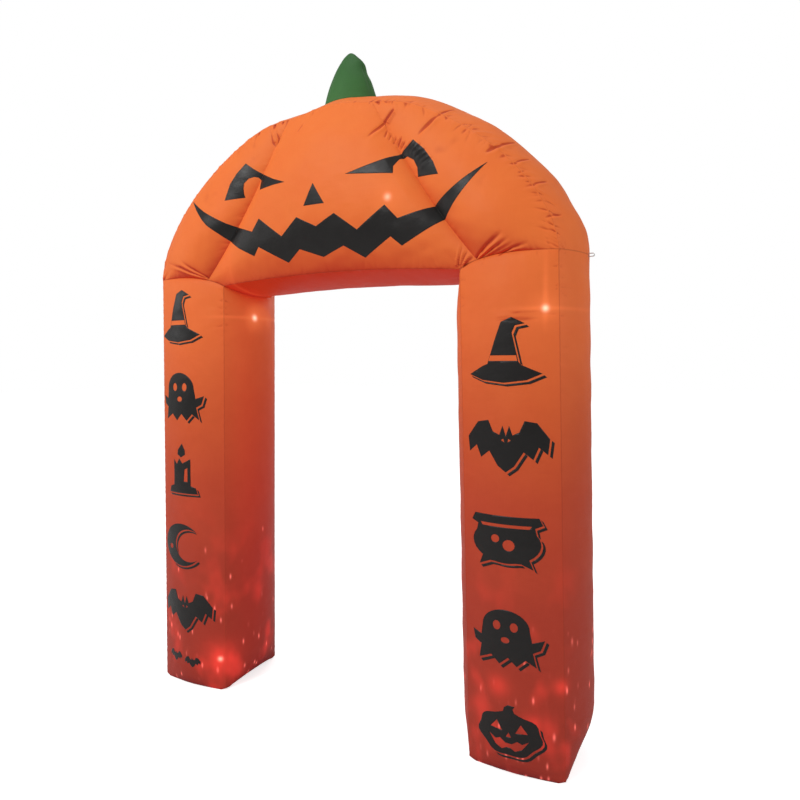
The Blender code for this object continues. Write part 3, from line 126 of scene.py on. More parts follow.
def fullness(height, top, top_share, foot_share=FOOT_SHARE, foot_round=FOOT_ROUND):
    low = np.maximum(0, 1 - height / foot_round)
    high = np.maximum(0, 1 - (top - height) / SHOULDER_ROUND)
    at_foot = foot_share + (1 - foot_share) * np.sqrt(1 - low**2)
    return at_foot * (top_share + (1 - top_share) * np.sqrt(np.maximum(0, 1 - high**2)))


def leg_x(side, across, height):
    lean = LEG_SPLAY * np.maximum(0, 1 - height / OPENING_HEIGHT)
    return side * (OUTER_HALF_WIDTH - LEG_WIDTH * across + lean)


def shoulder_height(across):
    return SHOULDER_HEIGHT - SHOULDER_DROP * across**4


def place(x, y, z):
    return np.stack(np.broadcast_arrays(x, y, z), axis=-1).astype(float)


def shoulder_point(side, facing, across):
    bulge = SHOULDER_SHARE * FACE_BULGE * swell(across)
    return place(leg_x(side, across, OPENING_HEIGHT), facing * (HALF_DEPTH + bulge), shoulder_height(across))


def lintel_point(side, along):
    x = OPENING_HALF_WIDTH - LINTEL_LEAN * swell(along)
    return place(side * x, SEAM_DEPTH * along - HALF_DEPTH, OPENING_HEIGHT - LINTEL_SAG * swell(along))


def arc_point(turn, y):
    cosine, sine = np.cos(math.pi * turn), np.sin(math.pi * turn)
    power = 2 / HEAD_SQUARENESS_SHARE
    x = OUTER_HALF_WIDTH * np.sign(cosine) * np.abs(cosine) ** power
    return place(x, y, SHOULDER_HEIGHT + HEAD_RISE * np.maximum(0, sine) ** power)


def arc_normal(turn):
    point = arc_point(turn, 0)
    power = HEAD_SQUARENESS_SHARE - 1
    x = np.sign(point[..., 0]) * np.abs(point[..., 0] / OUTER_HALF_WIDTH) ** power / OUTER_HALF_WIDTH
    z = np.maximum(0, (point[..., 2] - SHOULDER_HEIGHT) / HEAD_RISE) ** power / HEAD_RISE
    return unit(place(x, 0, z))


def crease_point(side, facing, share):
    foot = shoulder_point(side, facing, CREASE_FOOT_SHARE)
    top = arc_point(CREASE_TURN, facing * HALF_DEPTH) * (side, 1, 1)
    run = top - foot
    inward = unit(np.array((-side * abs(run[2]), 0, -abs(run[0]))))
    share = np.asarray(share, float)[..., None]
    return foot + run * share + inward * CREASE_BOW * swell(share)


def soffit_height(x):
    return OPENING_HEIGHT + SOFFIT_RISE * (1 - (x / OPENING_HALF_WIDTH) ** 2)


def unit(vectors):
    return vectors / np.maximum(np.linalg.norm(vectors, axis=-1, keepdims=True), 1e-12)


def shares(length):
    """Even shares of a run, about one grid step apart."""
    return np.linspace(0, 1, max(3, round(length / GRID_STEP)) + 1)


# Where the crown sinks between its webs: places across, and how far
CROWN_SINK = (
    (-0.42, 0), (-0.36, 0.003), (-0.30, 0.012), (-0.22, 0.026), (-0.15, 0.039), (-0.08, 0.040), (0, 0.034),
    (0.10, 0.033), (0.17, 0.031), (0.24, 0.019), (0.30, 0.008), (0.36, 0.001), (0.42, 0),
)
SINK_FOOT = 2.28
SINK_RUN = 0.22
SINK_SPREAD = 0.025

# How the foot of each leg leaves the floor, and where
FOOT_LOOSE_HEIGHT = 0.20
FOOT_SIDE_LIFT = 0.022
FOOT_BACK_LIFT = 0.030
FOOT_BACK_TUCK = 0.046
FOOT_CORNER_LIFT = 0.009
FOOT_CORNER_SHARE = 0.86


def eased(share):
    """Rises from 0 to 1 with a soft start and end."""
    share = np.clip(share, 0, 1)
    return share * share * (3 - 2 * share)


def settled(points):
    """The crown is flatter than a full arch: the webs inside and the stem's weight draw it down."""
    x = points[..., 0]
    spread = SINK_SPREAD * np.linspace(-1, 1, 7)
    sink = np.mean([np.interp(x + step, *np.array(CROWN_SINK).T) for step in spread], axis=0)
    moved = points.copy()
    moved[..., 2] -= sink * eased((points[..., 2] - SINK_FOOT) / SINK_RUN)
    return footed(moved)


def footed(points):
    """Each foot stands on its middle: its sides lift between the corners and tuck in behind."""
    x, y, z = np.moveaxis(points, -1, 0)
    across = (np.abs(x) - OUTER_HALF_WIDTH - LEG_SPLAY + LEG_WIDTH / 2) / (LEG_WIDTH / 2)
    along = y / HALF_DEPTH
    low = np.clip(1 - z / FOOT_LOOSE_HEIGHT, 0, 1)
    outward, edge = np.clip(across, 0, 1) ** 2, np.clip(np.abs(across), 0, 1) ** 2
    behind = eased((along + 1) / 1.3)
    between = np.maximum(0, 1 - along**2)
    corner = 1
    for share in (across, along):
        corner = corner * np.clip((np.abs(share) - FOOT_CORNER_SHARE) / (1 - FOOT_CORNER_SHARE), 0, 1)
    lift = FOOT_SIDE_LIFT * between * edge + FOOT_BACK_LIFT * outward * behind + FOOT_CORNER_LIFT * corner
    moved = points.copy()
    moved[..., 0] -= np.sign(x) * FOOT_BACK_TUCK * low**1.4 * outward * behind
    moved[..., 2] += low**2 * lift
    return moved


# Panels


def cumulative(points, axis):
    """The distance along the grid lines from their start, and to their end."""
    steps = np.linalg.norm(np.diff(points, axis=axis), axis=-1)
    start = np.zeros_like(np.take(steps, [0], axis=axis))
    run = np.concatenate([start, np.cumsum(steps, axis=axis)], axis=axis)
    return run, np.take(run, [-1], axis=axis) - run


class Panel:
    """A grid of points on a cloth panel, its outward normals, and the folds laid into it."""

    def __init__(self, points, way, weave):
        self.points = points
        self.weave = weave
        down, across = np.gradient(points, axis=0), np.gradient(points, axis=1)
        normal = unit(np.cross(across, down))
        empty = np.linalg.norm(normal, axis=-1) < 0.5
        middle = normal[normal.shape[0] // 2, normal.shape[1] // 2]
        self.way = np.broadcast_to(np.asarray(way, float), points.shape)
        middle_way = self.way[normal.shape[0] // 2, normal.shape[1] // 2]
        self.turned = middle @ middle_way < 0
        if self.turned:
            normal = -normal
        normal[empty] = self.way[empty]
        self.normal = normal
        self.soft = normal.copy()
        self.height = np.zeros(points.shape[:-1])
        self.folds = np.zeros(points.shape[:-1])
        self.drift = np.zeros_like(points)
        self.edge = np.full(points.shape[:-1], 1.0)
        self.line = self.edge.copy()
        self.ways = None

    def dips(self):
        """How far each place lies below the cloth round it. The orange look darkens these places as painted
        shade.
        """
        relief = self.height + self.folds
        steps = [np.linalg.norm(np.diff(self.points, axis=axis), axis=-1).mean() for axis in (0, 1)]
        return evened(relief, [max(2, round(DIP_REACH / step)) for step in steps]) - relief

    def folded(self):
        moved = self.points + self.normal * self.height[..., None] + self.drift
        return moved + self.soft * self.folds[..., None]


def evened(values, radii):
    """Values of a grid, each the mean of the places within a few steps of it."""
    for axis, radius in enumerate(radii):
        kernel = np.exp(-(np.linspace(-2, 2, 4 * radius + 1) ** 2))
        kernel /= kernel.sum()
        reach = [(0, 0), (0, 0)]
        reach[axis] = (2 * radius, 2 * radius)
        wider = np.pad(values, reach, mode="reflect")
        steps = np.arange(values.shape[axis])
        values = sum(share * wider.take(steps + step, axis) for step, share in enumerate(kernel))
    return values


def noise_waves(seed, count, shortest, longest):
    """Waves of random ways and lengths that add up to a soft, uneven surface."""
    chance = np.random.default_rng(seed)
    lengths = shortest * (longest / shortest) ** chance.random(count)
    ways = unit(chance.normal(size=(count, 3)))
    return list(zip(ways * (2 * math.pi / lengths)[:, None], chance.random(count) * 2 * math.pi))


BROAD_WAVES = noise_waves(11, 14, 0.16, 0.45)
SHORT_WAVES = noise_waves(12, 26, 0.045, 0.12)


def waves(points, table, stretch=(1, 1, 1)):
    scaled = points * stretch
    total = sum(np.cos(scaled @ way + start) for way, start in table)
    return total / math.sqrt(len(table) / 2)


# The gathers along a seam: how far each strays from its place, its width, height, length and lean
SEAM_SEEDS = {}
GATHERS = 512
GATHER_STRAY = 0.4
GATHER_WIDTHS = (0.0036, 0.0075)
RIDGE_SHARE = 0.65
GATHER_HEIGHT_LEAST = 0.25
GATHER_LENGTH_SHARES = (0.5, 1.9)
GATHER_LEAN = 0.22
SEAM_PULL = 0.0006
SEAM_WAVE = 0.0003
SEAM_PULL_REACH = 0.007
SEAM_TURN_REACH = 0.012
NO_TURN = np.zeros(3)


def seam_seed(name):
    return SEAM_SEEDS.setdefault(name, 100 + len(SEAM_SEEDS))


def puckers(
    panel, name, number, along, reach, other, height, spacing=0.021, length=0.034, line=1.0, slant=0.0
):
    """Gathers a panel along a seam: short ridges and dips across the seam that die out into the panel.

    The panels of a seam draw the same places and widths from its name, and own lengths from their number.
    """
    chance = np.random.default_rng(seam_seed(name))
    own = np.random.default_rng((seam_seed(name), number))
    strays = chance.uniform(-GATHER_STRAY, GATHER_STRAY, GATHERS)
    widths = chance.uniform(*GATHER_WIDTHS, GATHERS)
    rises = chance.choice((-1, 1), GATHERS, p=(RIDGE_SHARE, 1 - RIDGE_SHARE))
    rises = rises * chance.uniform(GATHER_HEIGHT_LEAST, 1, GATHERS) ** 1.5
    lengths = length * own.uniform(*GATHER_LENGTH_SHARES, GATHERS)
    leans = own.normal(0, GATHER_LEAN, GATHERS)
    total, wobble = np.zeros_like(panel.height), np.zeros_like(panel.height)
    tilt = slant * reach
    for step in range(math.floor(along.min() / spacing) - 1, math.ceil(along.max() / spacing) + 2):
        pick = step % GATHERS
        off = along - (step + strays[pick]) * spacing
        width = widths[pick]
        bent = off - leans[pick] * reach - tilt
        near = (np.abs(bent) < 0.04) & (reach < 0.25)
        far = reach[near] / (0.3 * lengths[pick])
        fade = rises[pick] * np.sqrt(far) * np.exp(0.5 - 0.7 * far)
        total[near] += fade * np.exp(-((bent[near] / (width + 0.06 * reach[near])) ** 2))
        near = (np.abs(off) < 0.05) & (reach < 0.05)
        wobble[near] += np.cos(off[near] / width) * np.exp(-((off[near] / (4 * width)) ** 2))
    panel.height += total * height
    way = panel.way + other
    pull = (SEAM_PULL + SEAM_WAVE * wobble) * np.exp(-reach / SEAM_PULL_REACH) * (line > 0)
    panel.drift -= way * pull[..., None]
    share = np.exp(-reach / SEAM_TURN_REACH)[..., None]
    panel.soft = unit(panel.soft * (1 - share) + unit(way) * share)
    panel.edge = np.minimum(panel.edge, reach)
    panel.line = np.minimum(panel.line, reach + 0.003 * (1 - line))


def crumple(panel, amount, stretch=(1, 1, 1), fine=0.0003):
    """The broad unevenness of blown-up cloth, held still at the seams."""
    free = 1 - np.exp(-panel.edge / 0.05)
    panel.height += amount * free * waves(panel.points, BROAD_WAVES, stretch)
    panel.height += fine * free * waves(panel.points, SHORT_WAVES, stretch)


def fold(panel, line, width, depth, fade):
    """A fold along a line of places: a dip with a ridge beside it, on the side of the depth's sign."""
    margin = 8 * width
    near = np.all((panel.points > line.min(0) - margin) & (panel.points < line.max(0) + margin), axis=-1)
    if not near.any():
        return
    points, normal = panel.points[near], panel.normal[near]
    lengths = np.linalg.norm(np.diff(line, axis=0), axis=1)
    starts = np.concatenate([[0], np.cumsum(lengths)])
    nearest = np.full(len(points), np.inf)
    run, side = np.zeros(len(points)), np.zeros(len(points))
    for begin, end, start, length in zip(line, line[1:], starts, lengths):
        way = (end - begin) / length
        off = points - begin
        share = np.clip(off @ way, 0, length)
        off = off - share[:, None] * way
        distance = np.linalg.norm(off, axis=-1)
        closer = distance < nearest
        nearest = np.where(closer, distance, nearest)
        run = np.where(closer, start + share, run)
        side = np.where(closer, np.sum(off * np.cross(normal, way), axis=-1), side)
    taper = np.interp(run / starts[-1], (0, 0.25, 0.7, 1), fade)
    wide = max(width, FOLD_LEAST_WIDTH) * (0.7 + 0.6 * run / starts[-1])
    dip = np.exp(-((nearest / wide) ** 2))
    past = np.maximum(0, nearest**2 - side**2) / wide**2
    ridge = np.exp(-(((side * math.copysign(1, depth) - 1.7 * wide) / (1.2 * wide)) ** 2) - past)
    panel.folds[near] += abs(depth) * taper * (0.75 * ridge - dip)


# The folds that the photograph shows, in millimetres: a line of places on the cloth, its width and depth
FOLD_LEAST_WIDTH = 0.0060
RIGHT_SHOULDER_FOLDS = (
    (((619, -197, 1832), (633, -207, 1844), (668, -225, 1870), (723, -234, 1911)), 7.5, -7.5),
    (((626, -196, 1826), (674, -215, 1850), (745, -227, 1890)), 5.5, -4),
    (((645, -200, 1826), (697, -212, 1849), (766, -219, 1877)), 5, -2.6),
    (((700, -204, 1832), (754, -211, 1856), (808, -207, 1870)), 6, -4.5),
)
RIGHT_CREASE_FOLDS = (
    (((536, -186, 1840), (545, -193, 1871), (554, -192, 1899)), 6, -2.5),
    (((544, -180, 1814), (556, -191, 1861), (567, -199, 1897)), 5.5, 4.2),
    (((558, -182, 1815), (570, -188, 1842), (585, -193, 1866)), 4.8, 3.6),
    (((566, -182, 1810), (586, -188, 1826), (606, -195, 1843)), 4.5, 4.2),
)
LEFT_SHOULDER_FOLDS = (
    (((-615, -197, 1835), (-668, -217, 1854), (-741, -225, 1884), (-836, -201, 1917)), 6.5, 5),
    (((-616, -200, 1841), (-662, -223, 1867), (-732, -232, 1911)), 6, 5),
)
CROWN_FOLDS = (
    (((318, -142, 2459), (284, -181, 2406), (252, -180, 2373),
      (231, -193, 2347), (210, -207, 2327), (182, -220, 2297)), 7, 6.2),
    (((498, -103, 2396), (481, -156, 2372), (456, -183, 2345),
      (429, -195, 2320), (404, -198, 2299), (386, -199, 2278)), 7, 5.8),
    (((583, -154, 2309), (569, -184, 2283), (557, -193, 2268)), 7, 2.8),
    (((717, -73, 2250), (700, -131, 2233), (682, -172, 2214),
      (665, -188, 2200), (641, -203, 2188)), 7.5, 6.2),
    (((778, -98, 2178), (755, -153, 2159), (740, -180, 2145)), 5.5, 4.5),
    (((843, -108, 2091), (821, -154, 2077), (804, -182, 2062)), 5.5, 4.2),
    (((901, -133, 1966), (870, -179, 1956), (852, -191, 1949)), 5, 4),
    (((-276, -178, 2424), (-265, -182, 2373), (-249, -186, 2345)), 6, 3.4),
    (((-253, -177, 2431), (-236, -179, 2385), (-246, -186, 2350)), 6, 3),
    (((-107, -193, 2445), (-121, -200, 2419), (-134, -205, 2393)), 8, 2.6),
)
CROWN_PLEATS = (
    (((260, -184, 2331), (256, -198, 2298)), 5, 2.2),
    (((275, -181, 2315), (270, -194, 2287)), 5, 2.6),
    (((299, -185, 2300), (287, -189, 2274)), 5, 3),
    (((324, -190, 2295), (302, -185, 2261)), 5, 3.2),
    (((341, -192, 2277), (315, -183, 2250)), 5, 3.4),
    (((371, -198, 2271), (339, -187, 2240)), 5.2, 4.4),
    (((383, -200, 2261), (354, -192, 2232)), 5.2, 4.6),
    (((406, -203, 2255), (370, -196, 2224)), 5.2, 4.6),
    (((426, -207, 2234), (382, -199, 2209)), 5.2, 4.4),
    (((435, -209, 2215), (394, -201, 2195)), 5, 3.4),
    (((452, -213, 2198), (395, -199, 2181)), 5, 2.6),
)
LAMP_FOLDS = (
    (((740, -221, 1634), (790, -217, 1629), (861, -196, 1632)), 7, 2.2),
    (((700, -221, 1614), (781, -217, 1611), (850, -201, 1615)), 8, 2.4),
)
# How deep a fold is at its start, a quarter on, near its end and at its end
FROM_SHOULDER = (0.7, 1.0, 0.6, 0.0)
FROM_CREASE = (0.9, 1.0, 0.6, 0.0)
LONG_SHOULDER = (0.7, 1.0, 0.7, 0.1)
FROM_CROWN = (0.5, 1.0, 0.9, 0.0)
EVEN = (0.35, 1.0, 1.0, 0.25)
FOLDS = (
    (RIGHT_SHOULDER_FOLDS, FROM_SHOULDER),
    (RIGHT_CREASE_FOLDS, FROM_CREASE),
    (LEFT_SHOULDER_FOLDS, LONG_SHOULDER),
    (CROWN_FOLDS, FROM_CROWN),
    (CROWN_PLEATS, EVEN),
    (LAMP_FOLDS, EVEN),
)


def all_folds(panel, mirrored=False):
    """Lays every known fold into a panel. The back gets the same kinds of folds, mirrored left to right."""
    turn = (-1, -1, 1) if mirrored else (1, 1, 1)
    for table, fade in FOLDS:
        for line, width, depth in table:
            fold(panel, np.array(line) / 1000 * turn, width / 1000, depth / 1000, fade)


def arc_table():
    turns = np.linspace(0, 1, 400)
    run = cumulative(arc_point(turns, 0), 0)[0]
    return turns, run


ARC_TURNS, ARC_RUNS = arc_table()


def arc_run(turn):
    return np.interp(turn, ARC_TURNS, ARC_RUNS)


def slant(turn):
    """How far the gathers of the arch's seam lean: they hang down towards each shoulder."""
    return 0.65 * np.cos(math.pi * turn)


def upper(height):
    """How strongly the air and the weight above crumple a leg's seams at a height."""
    return 0.0006 + 0.0015 * np.clip((height - 1.25) / 0.5, 0, 1) ** 1.5


# Gathers of each kind of seam: height, and where it isn't the usual one, spacing and length
LEG_SHOULDER_GATHERS = (0.0015,)
SHOULDER_GATHERS = (0.0013,)
LINTEL_GATHERS = (0.0010,)
FOOT_GATHERS = (0.0006, 0.030)
ARCH_GATHERS = (0.0034, 0.014, 0.030)
CROWN_GATHERS = (0.0020, 0.014, 0.026)
SOFFIT_GATHERS = (0.0010, 0.024, 0.030)
CREASE_GATHERS = (0.0008, 0.030, 0.030)

# Unevenness of each part: how high, how it is stretched, and how fine
LEG_CRUMPLE = (0.0007, (1, 1, 1.4), 0.0002)
HEAD_CRUMPLE = (0.0018,)
SOFFIT_CRUMPLE = (0.0014,)
WEB_CRUMPLE = (0.0012,)


def leg_face(side, word, facing, view):
    rows, columns = shares(SHOULDER_HEIGHT), shares(LEG_WIDTH)
    across, row = np.meshgrid(columns, rows)
    top = shoulder_height(across)
    height = row * top
    bulge = FACE_BULGE * swell(across) * fullness(height, top, SHOULDER_SHARE)
    has_fan = side == RIGHT and facing == BACK
    if has_fan:
        away = np.clip((np.abs(height - FAN_HEIGHT) - FAN_SEAT_REACH) / FAN_BLEND, 0, 1)
        held = np.minimum(bulge, FAN_SEAT_BULGE)
        bulge = held + (bulge - held) * away
    x = leg_x(side, across, height)
    points = place(x, facing * (HALF_DEPTH + bulge), height)
    panel = Panel(points, (0, facing, 0), (x, height))
    start, end = cumulative(points, 1)
    foot, head = cumulative(points, 0)
    z = points[..., 2]
    puckers(panel, f"{word}_outer_{view}", 1, z, start, np.array((side, 0, 0)), upper(z))
    puckers(panel, f"{word}_inner_{view}", 1, z, end, np.array((-side, 0, 0)), upper(z))
    puckers(panel, f"{word}_shoulder_{view}", 1, np.abs(x), head, NO_TURN, *LEG_SHOULDER_GATHERS)
    puckers(panel, f"{word}_foot_{view}", 1, np.abs(x), foot, NO_TURN, *FOOT_GATHERS)
    crumple(panel, *LEG_CRUMPLE)
    all_folds(panel, facing == BACK)
    if has_fan:
        gather_round_fan(panel, x, z)
    if side == LEFT and facing == BACK:
        gather_at_zip(panel, x, z)
    return panel


def fan_x():
    return float(leg_x(RIGHT, 0.5, FAN_HEIGHT))


FAN_CALM_RADIUS = 0.10
FAN_CALM_BLEND = 0.05
RAY_HEIGHT = 0.0009
RAY_COUNTS = (19, 31)
ZIP_RIPPLE_HEIGHT = 0.0006
ZIP_RIPPLES = (0.021, 0.034)


def gather_round_fan(panel, x, z):
    """The fan's flange holds the cloth flat, and its clamp pulls small rays into the cloth round it."""
    away = np.hypot(x - fan_x(), z - FAN_HEIGHT)
    panel.height *= np.clip((away - FAN_CALM_RADIUS) / FAN_CALM_BLEND, 0, 1)
    angle = np.arctan2(z - FAN_HEIGHT, x - fan_x())
    rays = np.cos(angle * RAY_COUNTS[0]) + 0.7 * np.cos(angle * RAY_COUNTS[1] + 1.3)
    near = np.clip((away - 0.094) / 0.02, 0, 1) * np.exp(-np.maximum(0, away - 0.11) / 0.03)
    panel.height += RAY_HEIGHT * rays * near


def gather_at_zip(panel, x, z):
    """Small dips beside the zip's tape, where the stitches draw the cloth together."""
    away = np.abs(x - leg_x(LEFT, 0.5, z))
    beside = (z > ZIP_FOOT_HEIGHT - 0.02) & (z < ZIP_FOOT_HEIGHT + ZIP_LENGTH + 0.02)
    ripple = np.cos(z * 2 * math.pi / ZIP_RIPPLES[0]) + 0.6 * np.cos(z * 2 * math.pi / ZIP_RIPPLES[1] + 1)
    near = np.clip((away - 0.014) / 0.01, 0, 1) * np.exp(-np.maximum(0, away - 0.02) / 0.02)
    panel.height *= np.where(beside, np.clip((away - 0.015) / 0.03, 0, 1), 1)
    panel.height += np.where(beside, ZIP_RIPPLE_HEIGHT * ripple * near, 0)


def leg_side(side, word, outer):
    way = side if outer else -side
    columns, rows = shares(SEAM_DEPTH), shares(SHOULDER_HEIGHT)
    along, row = np.meshgrid(columns, rows)
    if outer:
        top, top_share, across = np.full_like(along, SHOULDER_HEIGHT), 1, 0
    else:
        top, top_share, across = lintel_point(side, along)[..., 2], LINTEL_LEAN / SIDE_BULGE, 1
    height = row * top
    bulge = SIDE_BULGE * swell(along) * fullness(height, top, top_share, SIDE_FOOT_SHARE, SIDE_FOOT_ROUND)
    y = SEAM_DEPTH * along - HALF_DEPTH
    points = place(leg_x(side, across, height) + way * bulge, y, height)
    panel = Panel(points, (way, 0, 0), (y, height))
    start, end = cumulative(points, 1)
    foot, head = cumulative(points, 0)
    seam = "outer" if outer else "inner"
    z = points[..., 2]
    for reach, facing, view in ((start, FRONT, "front"), (end, BACK, "back")):
        puckers(panel, f"{word}_{seam}_{view}", 2, z, reach, np.array((0, facing, 0)), upper(z))
    if outer:
        puckers(panel, f"{word}_shoulder_outer", 2, y, head, NO_TURN, *SHOULDER_GATHERS)
    else:
        puckers(panel, f"{word}_lintel", 2, y, head, np.array((0, 0, -1)), *LINTEL_GATHERS, line=0.4)
    puckers(panel, f"{word}_{seam}_foot", 2, y, foot, NO_TURN, *FOOT_GATHERS)
    crumple(panel, *LEG_CRUMPLE)
    all_folds(panel)
    all_folds(panel, True)
    return panel


def side_lobe(side, word, facing, view):
    count, steps = SIDE_LOBE_COUNTS[facing], LOBE_STEPS[facing]
    turns = CREASE_TURN * np.linspace(0, 1, count)
    turns = turns if side == RIGHT else 1 - turns
    share, reach = np.meshgrid(np.linspace(0, 1, count), np.linspace(0, 1, steps), indexing="ij")
    turn = turns[:, None] + 0 * reach
    foot = crease_point(side, facing, 0)
    r, s = reach[..., None], share[..., None]

    def straight(at):
        return foot + (arc_point(at, facing * HALF_DEPTH) - foot) * r

    low = shoulder_point(side, facing, CREASE_FOOT_SHARE * (1 - reach)) - straight(turns[0] + 0 * reach)
    high = crease_point(side, facing, reach) - straight(turns[-1] + 0 * reach)
    points = straight(turn) + low * (1 - s) + high * s
    bubble = SIDE_LOBE_BULGE * (swell(reach) * swell(share)) ** PILLOW_SHARE
    points[..., 1] += facing * bubble
    panel = Panel(points, (0, facing, 0), (points[..., 0], points[..., 2]))
    near, far = cumulative(points, 0)
    edge = cumulative(points, 1)[1]
    run, lean = arc_run(turn), slant(turn)
    puckers(panel, f"arc_{view}", 3, run, edge, arc_normal(turn), *ARCH_GATHERS, line=0.5, slant=lean)
    puckers(panel, f"{word}_shoulder_{view}", 3, np.abs(points[..., 0]), near, NO_TURN, *SHOULDER_GATHERS)
    puckers(panel, f"{word}_crease_{view}", 3, points[..., 2], far, NO_TURN, *CREASE_GATHERS, line=0)
    crumple(panel, *HEAD_CRUMPLE)
    all_folds(panel, facing == BACK)
    return panel


def middle_lobe(facing, view):
    count, steps = MIDDLE_LOBE_COUNTS[facing], LOBE_STEPS[facing]
    shares_across, shares_up = np.linspace(0, 1, count), np.linspace(0, 1, steps)
    share, up = np.meshgrid(shares_across, shares_up)
    bottom = middle_bottom(shares_across, facing)
    top_turns = CREASE_TURN + (1 - 2 * CREASE_TURN) * shares_across
    top = arc_point(top_turns, facing * HALF_DEPTH)
    s, u = share[..., None], up[..., None]
    right, left = (crease_point(side, facing, shares_up)[:, None] for side in (RIGHT, LEFT))
    points = bottom * (1 - u) + top * u + right * (1 - s) + left * s
    right_edge = bottom[0] * (1 - u) + top[0] * u
    left_edge = bottom[-1] * (1 - u) + top[-1] * u
    points -= right_edge * (1 - s) + left_edge * s
    bubble = MIDDLE_LOBE_BULGE * (swell(share) * swell(up)) ** PILLOW_SHARE
    points[..., 1] += facing * bubble
    panel = Panel(points, (0, facing, 0), (points[..., 0], points[..., 2]))
    low, high = cumulative(points, 0)
    right_run, left_run = cumulative(points, 1)
    turn = np.broadcast_to(top_turns, share.shape)
    run, lean = arc_run(turn), slant(turn)
    puckers(panel, f"arc_{view}", 4, run, high, arc_normal(turn), *CROWN_GATHERS, line=0.4, slant=lean)
    puckers(panel, f"soffit_{view}", 4, points[..., 0], low, np.array((0, 0, -1)), *SOFFIT_GATHERS)
    for reach, word in ((right_run, "right"), (left_run, "left")):
        puckers(panel, f"{word}_crease_{view}", 4, points[..., 2], reach, NO_TURN, *CREASE_GATHERS, line=0)
    crumple(panel, *HEAD_CRUMPLE)
    all_folds(panel, facing == BACK)
    return panel


def middle_bottom(across, facing):
    """The lower edge of the head's middle: along each shoulder seam and between them along the soffit."""
    corner = 1 / 6
    ends = []
    for side, run in ((RIGHT, across), (LEFT, 1 - across)):
        inward = CREASE_FOOT_SHARE + (1 - CREASE_FOOT_SHARE) * np.clip(run / corner, 0, 1)
        ends.append(shoulder_point(side, facing, inward))
    x = OPENING_HALF_WIDTH * (1 - 2 * np.clip((across - corner) / (1 - 2 * corner), 0, 1))
    middle = place(x, facing * HALF_DEPTH, soffit_height(x))
    a = across[:, None]
    return np.where(a < corner, ends[0], np.where(a > 1 - corner, ends[1], middle))


def head_strip():
    rows, columns = (np.linspace(0, 1, count) for count in STRIP_COUNTS)
    along, turn = np.meshgrid(columns, rows)
    y = SEAM_DEPTH * along - HALF_DEPTH
    normal = arc_normal(turn)
    points = arc_point(turn, y) + normal * (SIDE_BULGE * swell(along))[..., None]
    panel = Panel(points, normal, (y, arc_run(turn)))
    start, end = cumulative(points, 1)
    right, left = cumulative(points, 0)
    for reach, facing, view in ((start, FRONT, "front"), (end, BACK, "back")):
        run, out = arc_run(turn), np.array((0, facing, 0))
        puckers(panel, f"arc_{view}", 5, run, reach, out, *ARCH_GATHERS, line=0.5, slant=-slant(turn))
    for reach, word in ((right, "right"), (left, "left")):
        puckers(panel, f"{word}_shoulder_outer", 5, y, reach, NO_TURN, *SHOULDER_GATHERS)
    crumple(panel, *HEAD_CRUMPLE)
    all_folds(panel)
    all_folds(panel, True)
    return panel


def head_soffit():
    columns, rows = shares(SEAM_DEPTH), shares(2 * OPENING_HALF_WIDTH)
    along, share = np.meshgrid(columns, rows)
    x = OPENING_HALF_WIDTH * (1 - 2 * share)
    lean = LINTEL_LEAN * (1 - 2 * share) * swell(along)
    sag = (LINTEL_SAG + SOFFIT_SAG * swell(share)) * swell(along)
    y = SEAM_DEPTH * along - HALF_DEPTH
    points = place(x - lean, y, soffit_height(x) - sag)
    panel = Panel(points, (0, 0, -1), (y, x))
    start, end = cumulative(points, 1)
    right, left = cumulative(points, 0)
    for reach, facing, view in ((start, FRONT, "front"), (end, BACK, "back")):
        puckers(panel, f"soffit_{view}", 6, points[..., 0], reach, np.array((0, facing, 0)), *SOFFIT_GATHERS)
    for reach, side, word in ((right, RIGHT, "right"), (left, LEFT, "left")):
        puckers(panel, f"{word}_lintel", 6, y, reach, np.array((-side, 0, 0)), *LINTEL_GATHERS, line=0.4)
    crumple(panel, *SOFFIT_CRUMPLE)
    all_folds(panel)
    return panel


# Cloth pieces


def joined_grid(panels, settle=True):
    """The points, faces, weave places and marks of panels whose shared edges are welded.

    A panel keeps the outward ways of the first grid that it is joined in.
    """
    points, faces, weave, seam, dip, ways = [], [], [], [], [], []
    for panel in panels:
        rows, columns = panel.points.shape[:2]
        base = sum(len(part) for part in points)
        numbers = np.arange(rows * columns).reshape(rows, columns) + base
        quads = np.stack([numbers[:-1, :-1], numbers[:-1, 1:], numbers[1:, 1:], numbers[1:, :-1]], axis=-1)
        quads = quads.reshape(-1, 4)
        faces.append(quads[:, ::-1] if panel.turned else quads)
        folded = panel.folded()
        points.append((settled(folded) if settle else folded).reshape(-1, 3))
        across, along = (np.broadcast_to(part, (rows, columns)).reshape(-1) for part in panel.weave)
        weave.append(np.stack([across, along], axis=-1))
        seam.append(panel.line.reshape(-1))
        dip.append(panel.dips().reshape(-1))
    points, faces = np.concatenate(points), np.concatenate(faces)
    keys = np.round(np.concatenate([panel.points.reshape(-1, 3) for panel in panels]), 5)
    _, first, number = np.unique(keys, axis=0, return_index=True, return_inverse=True)
    number = number.reshape(-1)
    count = np.bincount(number)
    welded = np.stack([np.bincount(number, points[:, axis]) / count for axis in range(3)], axis=-1)
    marks = {"seam_distance": np.concatenate(seam)[first], "dip": np.concatenate(dip)[first]}
    faces = number[faces]
    own = outward_ways(welded, faces)[number]
    for panel in panels:
        count = panel.height.size
        if panel.ways is None:
            panel.ways = own[:count]
        ways.append(panel.ways)
        own = own[count:]
    marks["way"] = np.concatenate(ways)[first]
    return welded, faces, np.concatenate(weave)[first], marks


